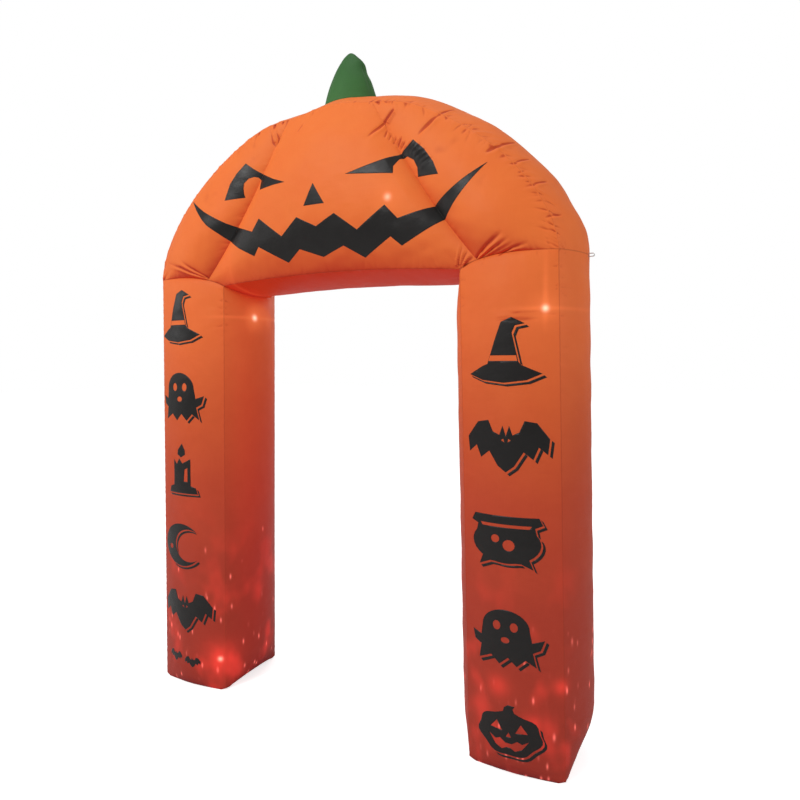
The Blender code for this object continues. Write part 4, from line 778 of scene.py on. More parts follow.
def outward_ways(points, faces):
    """The normal at each point, from the faces round it."""
    a, b, c, d = (points[faces[:, corner]] for corner in range(4))
    normals = np.repeat(np.cross(c - a, d - b), 4, axis=0)
    total = [np.bincount(faces.reshape(-1), normals[:, axis], len(points)) for axis in range(3)]
    return unit(np.stack(total, axis=-1))


def added(name, data):
    """A new object of a mesh or a curve."""
    piece = bpy.data.objects.new(name, data)
    bpy.context.collection.objects.link(piece)
    return piece


def grid_mesh(name, points, faces, weave, marks, skip=None):
    """A mesh of the grid's faces, with its weave as a UV map and its marks as attributes."""
    kept = []
    for face in faces.tolist():
        corners = list(dict.fromkeys(face))
        if len(corners) > 2 and not (skip is not None and all(skip[corner] for corner in corners)):
            kept.append(corners)
    mesh = bpy.data.meshes.new(name)
    mesh.from_pydata(points.tolist(), [], kept)
    loops = np.empty(len(mesh.loops), int)
    mesh.loops.foreach_get("vertex_index", loops)
    mesh.uv_layers.new(name="weave").data.foreach_set("uv", weave[loops].astype(np.float32).ravel())
    for mark, values in marks.items():
        kind, word = ("FLOAT", "value") if values.ndim == 1 else ("FLOAT_VECTOR", "vector")
        mesh.attributes.new(mark, kind, "POINT").data.foreach_set(word, values.astype(np.float32).ravel())
    bm = bmesh.new()
    bm.from_mesh(mesh)
    bmesh.ops.delete(bm, geom=[vertex for vertex in bm.verts if not vertex.link_faces], context="VERTS")
    bm.to_mesh(mesh)
    bm.free()
    mesh.shade_smooth()
    return added(name, mesh)


def thicken(piece, wall):
    """Gives a sheet its wall, inwards from its outer face."""
    modifier = piece.modifiers.new("wall", "SOLIDIFY")
    modifier.thickness = wall
    modifier.offset = -1
    modifier.use_rim = True
    apply_last(piece)


def smooth_as_sewn(piece, count):
    """Shades the cloth by its outside, which is its first points, and not by the thin edges of its wall."""
    mesh = piece.data
    mark = mesh.attributes["way"]
    ways = np.empty(len(mesh.vertices) * 3, np.float32)
    mark.data.foreach_get("vector", ways)
    ways = ways.reshape(-1, 3)
    ways[count:] *= -1
    mesh.attributes.remove(mark)
    mesh.normals_split_custom_set_from_vertices(ways.tolist())


def apply_last(piece):
    bpy.ops.object.select_all(action="DESELECT")
    bpy.context.view_layer.objects.active = piece
    piece.select_set(True)
    bpy.ops.object.modifier_apply(modifier=piece.modifiers[-1].name)
    piece.select_set(False)


def cut(piece, guide, operation):
    modifier = piece.modifiers.new("cut", "BOOLEAN")
    modifier.operation = operation
    modifier.solver = "EXACT"
    modifier.object = guide
    apply_last(piece)
    bpy.data.objects.remove(guide)


# Finishes


class Value:
    """A number of a material that changes over the surface. Sums and products of it add Math nodes."""

    def __init__(self, look, socket):
        self.look = look
        self.socket = socket

    def worked(self, operation, *numbers):
        return self.look.node("Math", {"operation": operation}, numbers)

    def __add__(self, other):
        return self.worked("ADD", self, other)

    def __radd__(self, other):
        return self.worked("ADD", other, self)

    def __sub__(self, other):
        return self.worked("SUBTRACT", self, other)

    def __rsub__(self, other):
        return self.worked("SUBTRACT", other, self)

    def __mul__(self, other):
        return self.worked("MULTIPLY", self, other)

    def __rmul__(self, other):
        return self.worked("MULTIPLY", other, self)

    def __truediv__(self, other):
        return self.worked("DIVIDE", self, other)

    def __rpow__(self, other):
        return self.worked("POWER", other, self)

    def kept(self):
        """Held between 0 and 1."""
        return self.look.node("Clamp", {}, (self, 0.0, 1.0))

    def between(self, low, high):
        """Rises smoothly from 0 at low to 1 at high."""
        return self.look.node("MapRange", {"interpolation_type": "SMOOTHSTEP"}, (self, low, high, 0.0, 1.0))


class Nodes:
    """The nodes of a material or of the world."""

    def __init__(self, tree):
        self.tree = tree

    def node(self, kind, settings, inputs, output=0):
        node = self.tree.nodes.new("ShaderNode" + kind)
        for key, value in settings.items():
            if key == "stops":
                self.ramp(node.color_ramp, value)
            else:
                setattr(node, key, value)
        for key, value in inputs.items() if isinstance(inputs, dict) else enumerate(inputs):
            self.fill(node.inputs[key], value)
        return Value(self, node.outputs[output])

    def ramp(self, ramp, stops):
        while len(ramp.elements) < len(stops):
            ramp.elements.new(0.5)
        for element, (at, tone) in zip(ramp.elements, stops):
            element.position = at
            element.color = tone

    def fill(self, socket, value):
        if isinstance(value, Value):
            self.tree.links.new(value.socket, socket)
        else:
            socket.default_value = value


class Look(Nodes):
    """A material in the making."""

    def __init__(self, name):
        self.material = bpy.data.materials.new(name)
        self.material.use_nodes = True
        super().__init__(self.material.node_tree)
        self.shader = self.tree.nodes["Principled BSDF"]

    def position(self):
        return self.node("TexCoord", {}, (), "Object")

    def weave(self):
        return self.node("UVMap", {"uv_map": "weave"}, ())

    def mark(self, name):
        return self.node("Attribute", {"attribute_name": name}, (), "Fac")

    def parts(self, vector):
        first = self.node("SeparateXYZ", {}, (vector,))
        return [Value(self, socket) for socket in first.socket.node.outputs]

    def scaled(self, vector, scale, shift=(0, 0, 0)):
        return self.node("Mapping", {}, {"Vector": vector, "Scale": scale, "Location": shift})

    def noise(self, vector, scale, detail, roughness):
        inputs = {"Vector": vector, "Scale": scale, "Detail": detail, "Roughness": roughness}
        return self.node("TexNoise", {}, inputs)

    def mixed(self, share, first, second, blend="MIX"):
        settings = {"data_type": "RGBA", "blend_type": blend}
        return self.node("Mix", settings, {0: share, 6: first, 7: second}, 2)

    def wave(self, angle):
        return self.node("Math", {"operation": "SINE"}, (angle,))

    def away(self, vector, point):
        """The distance from a place."""
        return self.node("VectorMath", {"operation": "DISTANCE"}, (vector, point), "Value")

    def blob(self, distance, radius):
        """1 at the middle, fading to 0 past a radius."""
        share = distance / radius
        return math.e ** (0 - share * share)

    def bump(self, height, distance, strength=1.0, under=None):
        inputs = {"Height": height, "Distance": distance, "Strength": strength}
        if under is not None:
            inputs["Normal"] = under
        return self.node("Bump", {}, inputs)

    def finished(self, **inputs):
        for name, value in inputs.items():
            self.fill(self.shader.inputs[name.replace("_", " ")], value)
        return self.material


def colour(*parts):
    """A colour as the eye names it, from 0 to 255, as the light that a shader needs."""
    return (*(((part / 255 + 0.055) / 1.055) ** 2.4 if part > 10 else part / 3295 for part in parts), 1)


THREAD_PITCH = 0.0011


def nylon_bump(look, weave, crinkle):
    """Thread, fine crinkles and the soft hand of thin nylon."""
    threads = [look.wave(way * (2 * math.pi / THREAD_PITCH)) for way in look.parts(weave)[:2]]
    under = look.bump(threads[0] * threads[1], 0.00006, 0.5)
    fine = look.noise(look.scaled(weave, (60, 150, 60)), 1.0, 4.0, 0.55)
    under = look.bump(fine, 0.0009, crinkle, under)
    soft = look.noise(look.scaled(weave, (14, 26, 14)), 1.0, 2.0, 0.5)
    return look.bump(soft, 0.0045, crinkle, under)


# Where each lamp's glare shows on the cloth, its radius and its strength, and where the lamps hang
LAMP_GLARE = (
    ((0.862, -0.195, 1.647), 0.0105, 1.0),
    ((-0.490, -0.044, 1.668), 0.012, 1.0),
    ((0.284, -0.229, 2.074), 0.012, 0.6),
    ((0.862, 0.195, 1.647), 0.0105, 0.8),
    ((-0.600, 0.222, 1.668), 0.012, 0.8),
    ((0.100, 0.229, 2.120), 0.013, 0.7),
)
LAMP_PLACES = ((0.817, 0, 1.663), (-0.600, 0.064, 1.678), (0.166, 0, 2.139))
LAMP_REACH = 0.30

# Painted light and shade up the cloth's height: darker red at the feet, brighter orange towards the crown,
# where the light from above and the lamps inside fall
ORANGE_HEIGHT = 2.6
ORANGE_LIGHT_AND_SHADE_STOPS = (
    (0.02, colour(166, 54, 40)),
    (0.23, colour(176, 61, 42)),
    (0.36, colour(192, 72, 43)),
    (0.48, colour(208, 88, 45)),
    (0.62, colour(228, 106, 51)),
    (0.76, colour(236, 115, 52)),
    (0.95, colour(238, 120, 54)),
)


def orange_nylon():
    look = Look("orange_nylon")
    at, weave = look.position(), look.weave()
    x, _, z = look.parts(at)
    drift = look.noise(look.scaled(at, (2.2, 2.2, 1.4)), 1.0, 2.0, 0.5)
    share = z / ORANGE_HEIGHT + (drift - 0.5) * 0.10
    # Painted light and shade: the colour brightens from the feet to the crown
    tone = look.node("ValToRGB", {"stops": ORANGE_LIGHT_AND_SHADE_STOPS}, (share,))
    tone = look.mixed(0.55, tone, tone_of_weave(look, weave), "SOFT_LIGHT")
    # Painted shade: faces that turn downwards, under the head's bulge and on the soffit, are darkened
    # towards red
    below = 0 - look.parts(look.node("NewGeometry", {}, (), "True Normal"))[2]
    tone = look.mixed(below.between(0.06, 0.62) * 0.85, tone, (0.62, 0.12, 0.20, 1), "MULTIPLY")
    tone = look.mixed(below.between(0.65, 0.92), tone, (1.30, 0.85, 0.66, 1), "MULTIPLY")
    # Painted shade in the folds: places that lie below the cloth round them are darkened
    dip = look.mark("dip").between(0.0003, 0.0019)
    tone = look.mixed(dip * 0.9, tone, (0.62, 0.32, 0.36, 1), "MULTIPLY")
    # Painted shade along the seams and creases: a thin darker line where the cloth turns in
    crease = look.blob(look.mark("seam_distance"), 0.0019)
    tone = look.mixed(crease * 0.42, tone, colour(150, 52, 30))
    return look.finished(
        Base_Color=tone,
        Roughness=0.46 + 0.10 * drift,
        Normal=nylon_bump(look, weave, 0.30),
        Specular_IOR_Level=0.16,
        Emission_Color=look.mixed(1.0, lamp_glow(look, at, x, z), spot_lights(look, at, z), "ADD"),
        Emission_Strength=1.0,
    )


def tone_of_weave(look, weave):
    """A faint cloudiness and thread streaks, as grey around the middle."""
    cloud = look.noise(look.scaled(weave, (9, 9, 9)), 1.0, 4.0, 0.6)
    streak = look.noise(look.scaled(weave, (420, 14, 1)), 1.0, 2.0, 0.6)
    grey = 0.5 + (cloud - 0.5) * 0.22 + (streak - 0.5) * 0.10
    return look.node("CombineColor", {}, (grey, grey, grey))


def lamp_glow(look, at, x, z):
    """What the three lamps inside throw on the cloth: a hot spot, a halo and pale bands across and down."""
    hot, halo = 0, 0
    for point, radius, strength in LAMP_GLARE:
        distance = look.away(at, point)
        hot = look.blob(distance, radius) * strength + hot
        halo = look.blob(distance, radius * 4.5) * strength + halo
    for point in LAMP_PLACES:
        halo = look.blob(look.away(at, point), LAMP_REACH) * 0.35 + halo
    bands = 0
    for (px, _, pz), radius, strength in LAMP_GLARE[:2]:
        flat = look.blob(z - pz, 0.007) * look.blob(x - px, 0.11)
        upright = look.blob(x - px, 0.009) * look.blob(z - pz, 0.16) * z.between(pz - 0.10, pz + 0.02)
        bands = (flat * 0.35 + upright * 0.45) * strength + bands
    warm = look.mixed((halo * 0.5 + bands).kept(), (0, 0, 0, 1), (0.30, 0.085, 0.028, 1))
    return look.mixed(hot.kept(), warm, (0.90, 0.66, 0.52, 1), "ADD")


# Flecks of the spot lamps: the scale and shift of their cells, their size in a cell, and how rare they are
FLECKS = (((36, 36, 13), (0, 0, 0), 0.135, 0.72), ((20, 20, 8), (3, 1, 2), 0.095, 0.78))
FLECK_LIGHT = (0.85, 0.16, 0.13, 1)

# Round glows on the feet: the place, the radius and the light
RED_GLOW = (0.40, 0.015, 0.012, 1)
FOOT_GLOWS = (
    ((0.826, -0.200, 0.206), 0.034, RED_GLOW),
    ((0.925, -0.190, 0.345), 0.026, RED_GLOW),
    ((0.706, -0.200, 0.323), 0.036, RED_GLOW),
    ((-0.599, -0.186, 0.145), 0.075, (0.36, 0.015, 0.010, 1)),
    ((-0.599, -0.186, 0.145), 0.010, (0.90, 0.55, 0.40, 1)),
)

# The long glow on the left leg's inner side, in places scaled to make it round
INNER_GLOW_SCALE = (4.0, 0.8, 0.2)
INNER_GLOW_PLACE = (-2.04, 0, 0.22)
INNER_GLOW_RADIUS = 0.20


def spot_lights(look, at, z):
    """Red light from the turning spot lamps in the feet: broad patches and small stretched flecks."""
    low, lower = 1 - z.between(0.10, 1.00), 1 - z.between(0.10, 0.78)
    patch = look.noise(look.scaled(at, (7.5, 7.5, 5.0)), 1.0, 2.0, 0.5).between(0.50, 0.74) * low
    glow = look.mixed(patch.kept(), (0, 0, 0, 1), (0.30, 0.012, 0.010, 1))
    for scale, shift, size, rarity in FLECKS:
        cells = {"Vector": look.scaled(at, scale, shift), "Scale": 1.0, "Randomness": 1.0}
        near = look.node("TexVoronoi", {"feature": "F1"}, cells, "Distance")
        chance = look.parts(look.node("TexVoronoi", {"feature": "F1"}, cells, "Color"))[0]
        lit = (chance - 1 + lower * (1 - rarity) * 2.2).between(0.0, 0.03)
        glow = look.mixed((look.blob(near, size) * lit).kept(), glow, FLECK_LIGHT, "ADD")
    for point, radius, light in FOOT_GLOWS:
        glow = look.mixed(look.blob(look.away(at, point), radius), glow, light, "ADD")
    inner = look.blob(look.away(look.scaled(at, INNER_GLOW_SCALE), INNER_GLOW_PLACE), INNER_GLOW_RADIUS)
    return look.mixed(inner, glow, (0.13, 0.004, 0.006, 1), "ADD")


def green_nylon():
    look = Look("green_nylon")
    at, weave = look.position(), look.weave()
    z = look.parts(at)[2]
    cloud = look.noise(look.scaled(at, (9, 9, 6)), 1.0, 3.0, 0.55)
    share = z.between(2.50, 2.75) * 0.5 + (cloud - 0.5) * 0.7 + 0.2
    tone = look.mixed(share.kept(), colour(64, 114, 57), colour(46, 92, 46))
    # Painted shade along the stem's pinched seams: a thin darker line
    tone = look.mixed(look.blob(look.mark("seam_distance"), 0.002) * 0.6, tone, colour(30, 58, 30))
    return look.finished(
        Base_Color=tone,
        Roughness=0.50 + 0.10 * cloud,
        Normal=nylon_bump(look, weave, 0.30),
        Specular_IOR_Level=0.2,
    )


def black_ink():
    look = Look("black_ink")
    at, weave = look.position(), look.weave()
    cloud = look.noise(look.scaled(at, (11, 11, 11)), 1.0, 3.0, 0.55)
    return look.finished(
        Base_Color=look.mixed(cloud, colour(13, 10, 9), colour(23, 19, 17)),
        Roughness=0.32 + 0.12 * cloud,
        Normal=nylon_bump(look, weave, 0.30),
        Specular_IOR_Level=0.34,
    )


def moulded(name, tone, dark, roughness):
    """Moulded plastic with a fine spark-eroded grain and rubbed high spots."""
    look = Look(name)
    at = look.position()
    grain = look.noise(at, 1800.0, 2.0, 0.5)
    wear = look.noise(at, 45.0, 4.0, 0.6)
    return look.finished(
        Base_Color=look.mixed(wear, dark, tone),
        Roughness=roughness + 0.16 * wear,
        Normal=look.bump(grain, 0.0001, 0.5),
    )


def metal(name, tone, roughness):
    look = Look(name)
    at = look.position()
    brushed = look.noise(look.scaled(at, (300, 300, 3000)), 1.0, 2.0, 0.5)
    cloud = look.noise(at, 90.0, 3.0, 0.5)
    return look.finished(
        Base_Color=look.mixed(cloud, (*(0.72 * part for part in tone), 1), (*tone, 1)),
        Metallic=1.0,
        Roughness=roughness + 0.15 * cloud,
        Normal=look.bump(brushed, 0.00005, 0.4),
    )


def clear_plastic():
    look = Look("clear_plastic")
    haze = look.noise(look.position(), 160.0, 3.0, 0.5)
    return look.finished(
        Base_Color=look.mixed(haze, (0.92, 0.94, 0.95, 1), (1, 1, 1, 1)),
        Roughness=0.06 + 0.10 * haze,
        Transmission_Weight=0.9,
        IOR=1.49,
    )


def circuit():
    look = Look("circuit_board")
    at = look.position()
    inputs = {
        "Vector": at,
        "Color1": (0.02, 0.16, 0.06, 1),
        "Color2": (0.025, 0.20, 0.075, 1),
        "Mortar": (0.05, 0.30, 0.12, 1),
        "Scale": 160.0,
        "Mortar Size": 0.04,
    }
    tracks = look.node("TexBrick", {"offset": 0.3}, inputs)
    mask = look.noise(at, 300.0, 2.0, 0.5)
    return look.finished(
        Base_Color=look.mixed(mask * 0.4, tracks, (0.02, 0.12, 0.05, 1)),
        Roughness=0.30 + 0.2 * mask,
        Normal=look.bump(mask, 0.0001, 0.5),
    )


def woven(name, light, dark, pitch, roughness=0.7):
    """Coarse woven tape, whose threads show."""
    look = Look(name)
    at = look.position()
    x, y, z = look.parts(at)
    ribs, cross = (look.wave(way * (2 * math.pi / pitch)) for way in (x + z, y - z))
    height = ribs * cross * 0.5 + 0.5
    fuzz = look.noise(at, 900.0, 3.0, 0.6)
    return look.finished(
        Base_Color=look.mixed((height * 0.6 + fuzz * 0.4).kept(), dark, light),
        Roughness=roughness + 0.1 * fuzz,
        Normal=look.bump(height, pitch / 6, 0.6),
        Sheen_Weight=0.2,
    )


ORANGE = orange_nylon()
GREEN = green_nylon()
INK = black_ink()
DARK_PLASTIC = moulded("dark_plastic", colour(52, 52, 56), colour(38, 38, 41), 0.42)
RUBBER = moulded("lead_rubber", colour(36, 35, 36), colour(25, 25, 26), 0.55)
STEEL = metal("plain_steel", (0.62, 0.62, 0.63), 0.28)
CLEAR = clear_plastic()
CIRCUIT = circuit()
WEBBING = woven("white_webbing", colour(226, 226, 222), colour(188, 188, 184), 0.0016)
ORANGE_TAPE = woven("orange_tape", colour(214, 92, 46), colour(178, 66, 34), 0.0014)
ZIP_CLOTH = woven("black_zip_tape", colour(44, 43, 45), colour(24, 23, 25), 0.0012)
ZIP_THREAD = woven("zip_thread", colour(92, 90, 92), colour(60, 58, 60), 0.0006)

SLOT_LOOKS = {
    "orange_cloth": ORANGE,
    "green_cloth": GREEN,
    "black_print": INK,
    "black_cloth": ZIP_CLOTH,
    "white_webbing": WEBBING,
    "dark_plastic": DARK_PLASTIC,
    "clear_plastic": CLEAR,
    "plain_steel": STEEL,
    "circuit_board": CIRCUIT,
    "lead_rubber": RUBBER,
}


# Cloth of the envelope


def finished(piece, node, look):
    """Gives a piece of the arch its look, sets it on the arch's body and hides the CAD node that it stands
    for.
    """
    piece.data.materials.append(look)
    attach(piece, "arch")
    if node:
        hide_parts(node)
    return piece


def cloth_piece(
    node, panels, flat, area=None, part="", skip=None, look=ORANGE, slot="orange_cloth", wall=CLOTH_WALL,
    settle=True, sewn=True,
):
    """A finished cloth panel, or a part of one, in place of its CAD node."""
    grid = joined_grid(panels, settle)
    piece = grid_mesh(node + part + "_cloth", *grid, skip(grid[0]) if skip else None)
    count = len(piece.data.vertices)
    thicken(piece, wall)
    if sewn:
        smooth_as_sewn(piece, count)
    return finished(piece, node, look)


def fan_opening(points):
    return np.hypot(points[:, 0] - fan_x(), points[:, 2] - FAN_HEIGHT) < FAN_HOLE_RADIUS


SLIT_HALF_WIDTH = 0.0085


def zip_opening(points):
    """The slit, which the tape covers."""
    away = np.abs(points[:, 0] - leg_x(LEFT, 0.5, points[:, 2]))
    low = ZIP_FOOT_HEIGHT + SLIT_MARGIN
    high = ZIP_FOOT_HEIGHT + ZIP_LENGTH - SLIT_MARGIN
    return (away < SLIT_HALF_WIDTH) & (points[:, 2] > low) & (points[:, 2] < high)


# Flat sizes of the cuts, and the flat areas of those that aren't rectangles
LEG_CUT = (0.386, 1.86)
SIDE_CUT = (0.384, 1.86)
BASE_CUT = (0.40, 0.39)
SIDE_LOBE_CUT = (0.80, 0.62)
SIDE_LOBE_AREA = 0.25
MIDDLE_LOBE_CUT = (1.14, 0.70)
MIDDLE_LOBE_AREA = 0.62
STRIP_CUT = (0.40, 2.75)
SOFFIT_CUT = (0.365, 1.12)
SHOULDER_WEB_CUT = (0.36, 0.36)
CROWN_WEB_CUT = (0.36, 0.78)
STEM_CUT = (0.74, 0.30)
STEM_AREA = 0.115


def make_legs():
    fronts = {}
    for side, word in SIDES:
        for facing, view in FACINGS:
            panel = leg_face(side, word, facing, view)
            if facing == FRONT:
                fronts[word] = panel
            opening = (fan_opening if side == RIGHT else zip_opening) if facing == BACK else None
            cloth_piece(f"{word}_leg_{view}", [panel], LEG_CUT, skip=opening)
        for outer, view in ((True, "outer"), (False, "inner")):
            cloth_piece(f"{word}_leg_{view}", [leg_side(side, word, outer)], SIDE_CUT)
        cloth_piece(f"{word}_leg_base", [leg_base(side)], BASE_CUT)
    return fronts


BASE_INSET = 0.002


def leg_base(side):
    across, along = np.meshgrid(shares(LEG_WIDTH), shares(SEAM_DEPTH))
    depth = HALF_DEPTH + FOOT_SHARE * FACE_BULGE * swell(across) - BASE_INSET
    reach = LEG_WIDTH / 2 + SIDE_FOOT_SHARE * SIDE_BULGE * swell(along) - BASE_INSET
    x = leg_x(side, 0.5, 0) + side * reach * (1 - 2 * across)
    y = depth * (2 * along - 1)
    return Panel(place(x, y, 0), (0, 0, -1), (x, y))


def make_head():
    """The head's panels. Its lobes are joined once first, so that they shade as one cloth."""
    lobes = {}
    for facing, view in FACINGS:
        panels = [side_lobe(side, word, facing, view) for side, word in SIDES] + [middle_lobe(facing, view)]
        lobes[view] = panels
        joined_grid(panels)
        for panel, part in zip(panels[:2], ("_left", "_right")):
            cloth_piece(f"head_{view}", [panel], SIDE_LOBE_CUT, SIDE_LOBE_AREA, part)
        cloth_piece(f"head_{view}", [panels[2]], MIDDLE_LOBE_CUT, MIDDLE_LOBE_AREA, "_middle")
    cloth_piece("head_outer_strip", [head_strip()], STRIP_CUT)
    cloth_piece("head_soffit", [head_soffit()], SOFFIT_CUT)
    return lobes["front"]


VENT_CUT_DEPTH = 0.15


def web(node, points, way, flat, vents):
    """A cloth web inside, with the vents that let the air and the lead through."""
    for axis in (0, 1):
        for end, inner in ((0, 1), (-1, -2)):
            edge = points.take(end, axis)
            step = unit(points.take(inner, axis) - edge) * WEB_INSET
            if axis:
                points[:, end] += step
            else:
                points[end] += step
    panel = Panel(points, way, (points[..., 0] + points[..., 2], points[..., 1]))
    panel.edge = np.minimum(*cumulative(points, 0))
    crumple(panel, *WEB_CRUMPLE)
    piece = cloth_piece(node, [panel], flat, sewn=False)
    for vent in vents:
        bpy.ops.mesh.primitive_cylinder_add(
            vertices=48, radius=VENT_RADIUS, depth=VENT_CUT_DEPTH, location=vent
        )
        guide = bpy.context.object
        guide.rotation_euler = Vector(way).to_track_quat("Z", "Y").to_euler()
        cut(piece, guide, "DIFFERENCE")


def shoulder_web(side, word):
    along, across = np.meshgrid(shares(SEAM_DEPTH), shares(LEG_WIDTH), indexing="ij")
    front, back = (shoulder_point(side, facing, across) for facing in (FRONT, BACK))
    points = front + (back - front) * along[..., None]
    points[..., 0] += side * SIDE_BULGE * swell(along) * (1 - across)
    inner = lintel_point(side, along) - shoulder_point(side, FRONT, 1.0)
    inner[..., 1] = 0
    points += inner * across[..., None]
    x = float(leg_x(side, VENT_SHARE, OPENING_HEIGHT))
    vents = [(x, way * VENT_SPACING / 2, SHOULDER_HEIGHT) for way in (-1, 1)]
    web(f"{word}_shoulder_web", points, (0, 0, 1), SHOULDER_WEB_CUT, vents)


def crown_web(side, word):
    turn = CREASE_TURN if side == RIGHT else 1 - CREASE_TURN
    rise, along = np.meshgrid(np.linspace(0, 1, CREASE_STEPS), shares(SEAM_DEPTH), indexing="ij")
    front, back = (crease_point(side, facing, rise) for facing in (FRONT, BACK))
    points = front + (back - front) * along[..., None]
    bulge = SIDE_BULGE * swell(along) * np.clip(8 * rise - 7, 0, 1)
    points += arc_normal(turn) * bulge[..., None]
    run = crease_point(side, FRONT, 1) - crease_point(side, FRONT, 0)
    hole = crease_point(side, FRONT, VENT_SHARE) * (1, 0, 1)
    web(f"{word}_crown_web", points, (side * abs(run[2]), 0, abs(run[0])), CROWN_WEB_CUT, [tuple(hole)])


# Bands: tether loops, ties and the zip


RIPPLE_PITCH = 0.0016
RIPPLE_SHARE = 0.06
BAND_STEPS = 13


def band(node, word, line, side, wide, wall, look):
    """A woven band along a line, with rounded edges, whose threads ripple it."""
    line = np.array(line, float)
    side = unit(np.array(side, float))
    up = unit(np.cross(unit(np.gradient(line, axis=0)), side))
    across = np.linspace(-1, 1, BAND_STEPS)
    thick = wall / 2 * np.sqrt(np.maximum(0.15, 1 - across**8))
    ripple = 1 + RIPPLE_SHARE * np.cos(cumulative(line, 0)[0] / RIPPLE_PITCH)[:, None]
    middle = line[:, None] + side * (across * wide / 2)[:, None]
    lift = up[:, None] * (thick * ripple)[..., None]
    ring = np.concatenate([middle + lift, (middle - lift)[:, ::-1]], axis=1)
    rows, columns = ring.shape[:2]
    numbers = np.arange(rows * columns).reshape(rows, columns)
    after = np.roll(numbers, -1, axis=1)
    faces = np.stack([numbers[:-1], after[:-1], after[1:], numbers[1:]], axis=-1).reshape(-1, 4).tolist()
    faces += [numbers[0].tolist(), numbers[-1][::-1].tolist()]
    mesh = bpy.data.meshes.new(node + word)
    mesh.from_pydata(ring.reshape(-1, 3).tolist(), [], faces)
    bm = bmesh.new()
    bm.from_mesh(mesh)
    bmesh.ops.recalc_face_normals(bm, faces=bm.faces)
    bm.to_mesh(mesh)
    bm.free()
    mesh.shade_smooth()
    mesh.set_sharp_from_angle(angle=math.radians(50))
    return finished(added(node + word, mesh), node, look)


LOOP_REACH = 0.020
LOOP_HEIGHT = 0.011
LOOP_WALL = 0.0015
LOOP_WIDTH = 0.015
LOOP_GAP = 0.0003
TIE_RADIUS = 0.0055
TIE_WALL = 0.0015
TIE_WIDTH = 0.010
TIE_REACH = 0.030
TIE_HEIGHT = 0.950
TIE_TURN = 5 * math.pi / 3


def make_loops():
    half = LOOP_HEIGHT / 2
    turns = np.linspace(-math.pi / 2, math.pi / 2, 25)
    bend = [(LOOP_REACH - half * (1 - math.cos(turn)), half * math.sin(turn)) for turn in turns]
    straight = np.linspace(LOOP_GAP, bend[0][0], 12)[:-1]
    flat_line = [(x, -half) for x in straight] + bend + [(x, half) for x in reversed(straight)]
    for side, word in SIDES:
        foot = side * (OUTER_HALF_WIDTH + SIDE_BULGE)
        line = [(foot + side * x, 0, SHOULDER_HEIGHT + z) for x, z in flat_line]
        name = f"{word}_tether_loop"
        band(name, "_webbing", line, (0, 1, 0), LOOP_WIDTH, LOOP_WALL, WEBBING)


def make_ties():
    for side, word in SIDES:
        out, across = unit(np.array((side, 1, 0))), unit(np.array((side, -1, 0)))
        seam = place(leg_x(side, 0, TIE_HEIGHT), HALF_DEPTH, TIE_HEIGHT)
        middle = seam - out * TIE_REACH - across * TIE_RADIUS
        turns = math.pi / 2 + TIE_TURN * np.linspace(0, 1, 60)[:-1]
        hook = [(TIE_RADIUS * math.cos(turn), TIE_RADIUS * math.sin(turn)) for turn in turns]
        straight = np.linspace(TIE_REACH - 2 * CLOTH_WALL, 0, 16)[:-1]
        flat_line = [(x, TIE_RADIUS) for x in straight] + hook
        line = [middle + out * x + across * z for x, z in flat_line]
        name = f"{word}_tie"
        band(name, "_tape", line, (0, 0, 1), TIE_WIDTH, TIE_WALL, ORANGE_TAPE)


ZIP_LEAN = math.atan(LEG_SPLAY / OPENING_HEIGHT)
TAPE_STEPS = (240, 14)
TAPE_WAVE = 0.00018
TAPE_WAVE_LENGTH = 0.021
CHAIN_GAP = 0.0003
CHAIN_ENDS = (0.0065, 0.006)
TOOTH_PITCH = 0.0020
TOOTH_REACH = 0.00135
TOOTH_STAGGER = 0.0005
TOOTH_SIZE = (0.0034, CHAIN_WALL - TAPE_WALL, 0.00115)
STOP_INSET = 0.004
STITCH_PITCH = 0.0034
STITCH_ROWS = (0.0088, 0.0122)
STITCH_ENDS = (0.002, 0.001)
STITCH_SIZE = (0.0006, 0.0004, 0.0026)
STITCH_LIFT = 0.0001
BLOCK_TAPER = 0.72


def zip_point(across, out, up):
    """A place on the zip: across the tape, out from the cloth and up along the leg."""
    x = leg_x(LEFT, 0.5, ZIP_FOOT_HEIGHT) + across * math.cos(ZIP_LEAN) + up * math.sin(ZIP_LEAN)
    z = ZIP_FOOT_HEIGHT - across * math.sin(ZIP_LEAN) + up * math.cos(ZIP_LEAN)
    return place(x, HALF_DEPTH + FACE_BULGE + TAPE_LIFT + out, z)


def zip_blocks(name, centres, size, look):
    """Small blocks on the tape, each narrower at its outer face: one is modelled and then copied."""
    bpy.ops.object.select_all(action="DESELECT")
    bpy.ops.mesh.primitive_cube_add(size=1)
    first = bpy.context.object
    first.scale = size
    bpy.ops.object.transform_apply(location=False, rotation=False, scale=True)
    bpy.ops.object.mode_set(mode="EDIT")
    bm = bmesh.from_edit_mesh(first.data)
    for vertex in bm.verts:
        vertex.select_set(vertex.co.y > 0)
    bm.select_flush_mode()
    bmesh.update_edit_mesh(first.data)
    bpy.ops.transform.resize(value=(BLOCK_TAPER, 1, BLOCK_TAPER), center_override=(0, 0, 0))
    bpy.ops.object.mode_set(mode="OBJECT")
    blocks = [first] + [added(name, first.data.copy()) for _ in centres[1:]]
    for block, centre in zip(blocks, centres):
        block.location = zip_point(*centre)
        block.rotation_euler = (0, ZIP_LEAN, 0)
        block.select_set(True)
    bpy.ops.object.join()
    bpy.ops.object.transform_apply(location=True, rotation=True, scale=True)
    first.name = first.data.name = name
    return finished(first, "zip_tape", look)


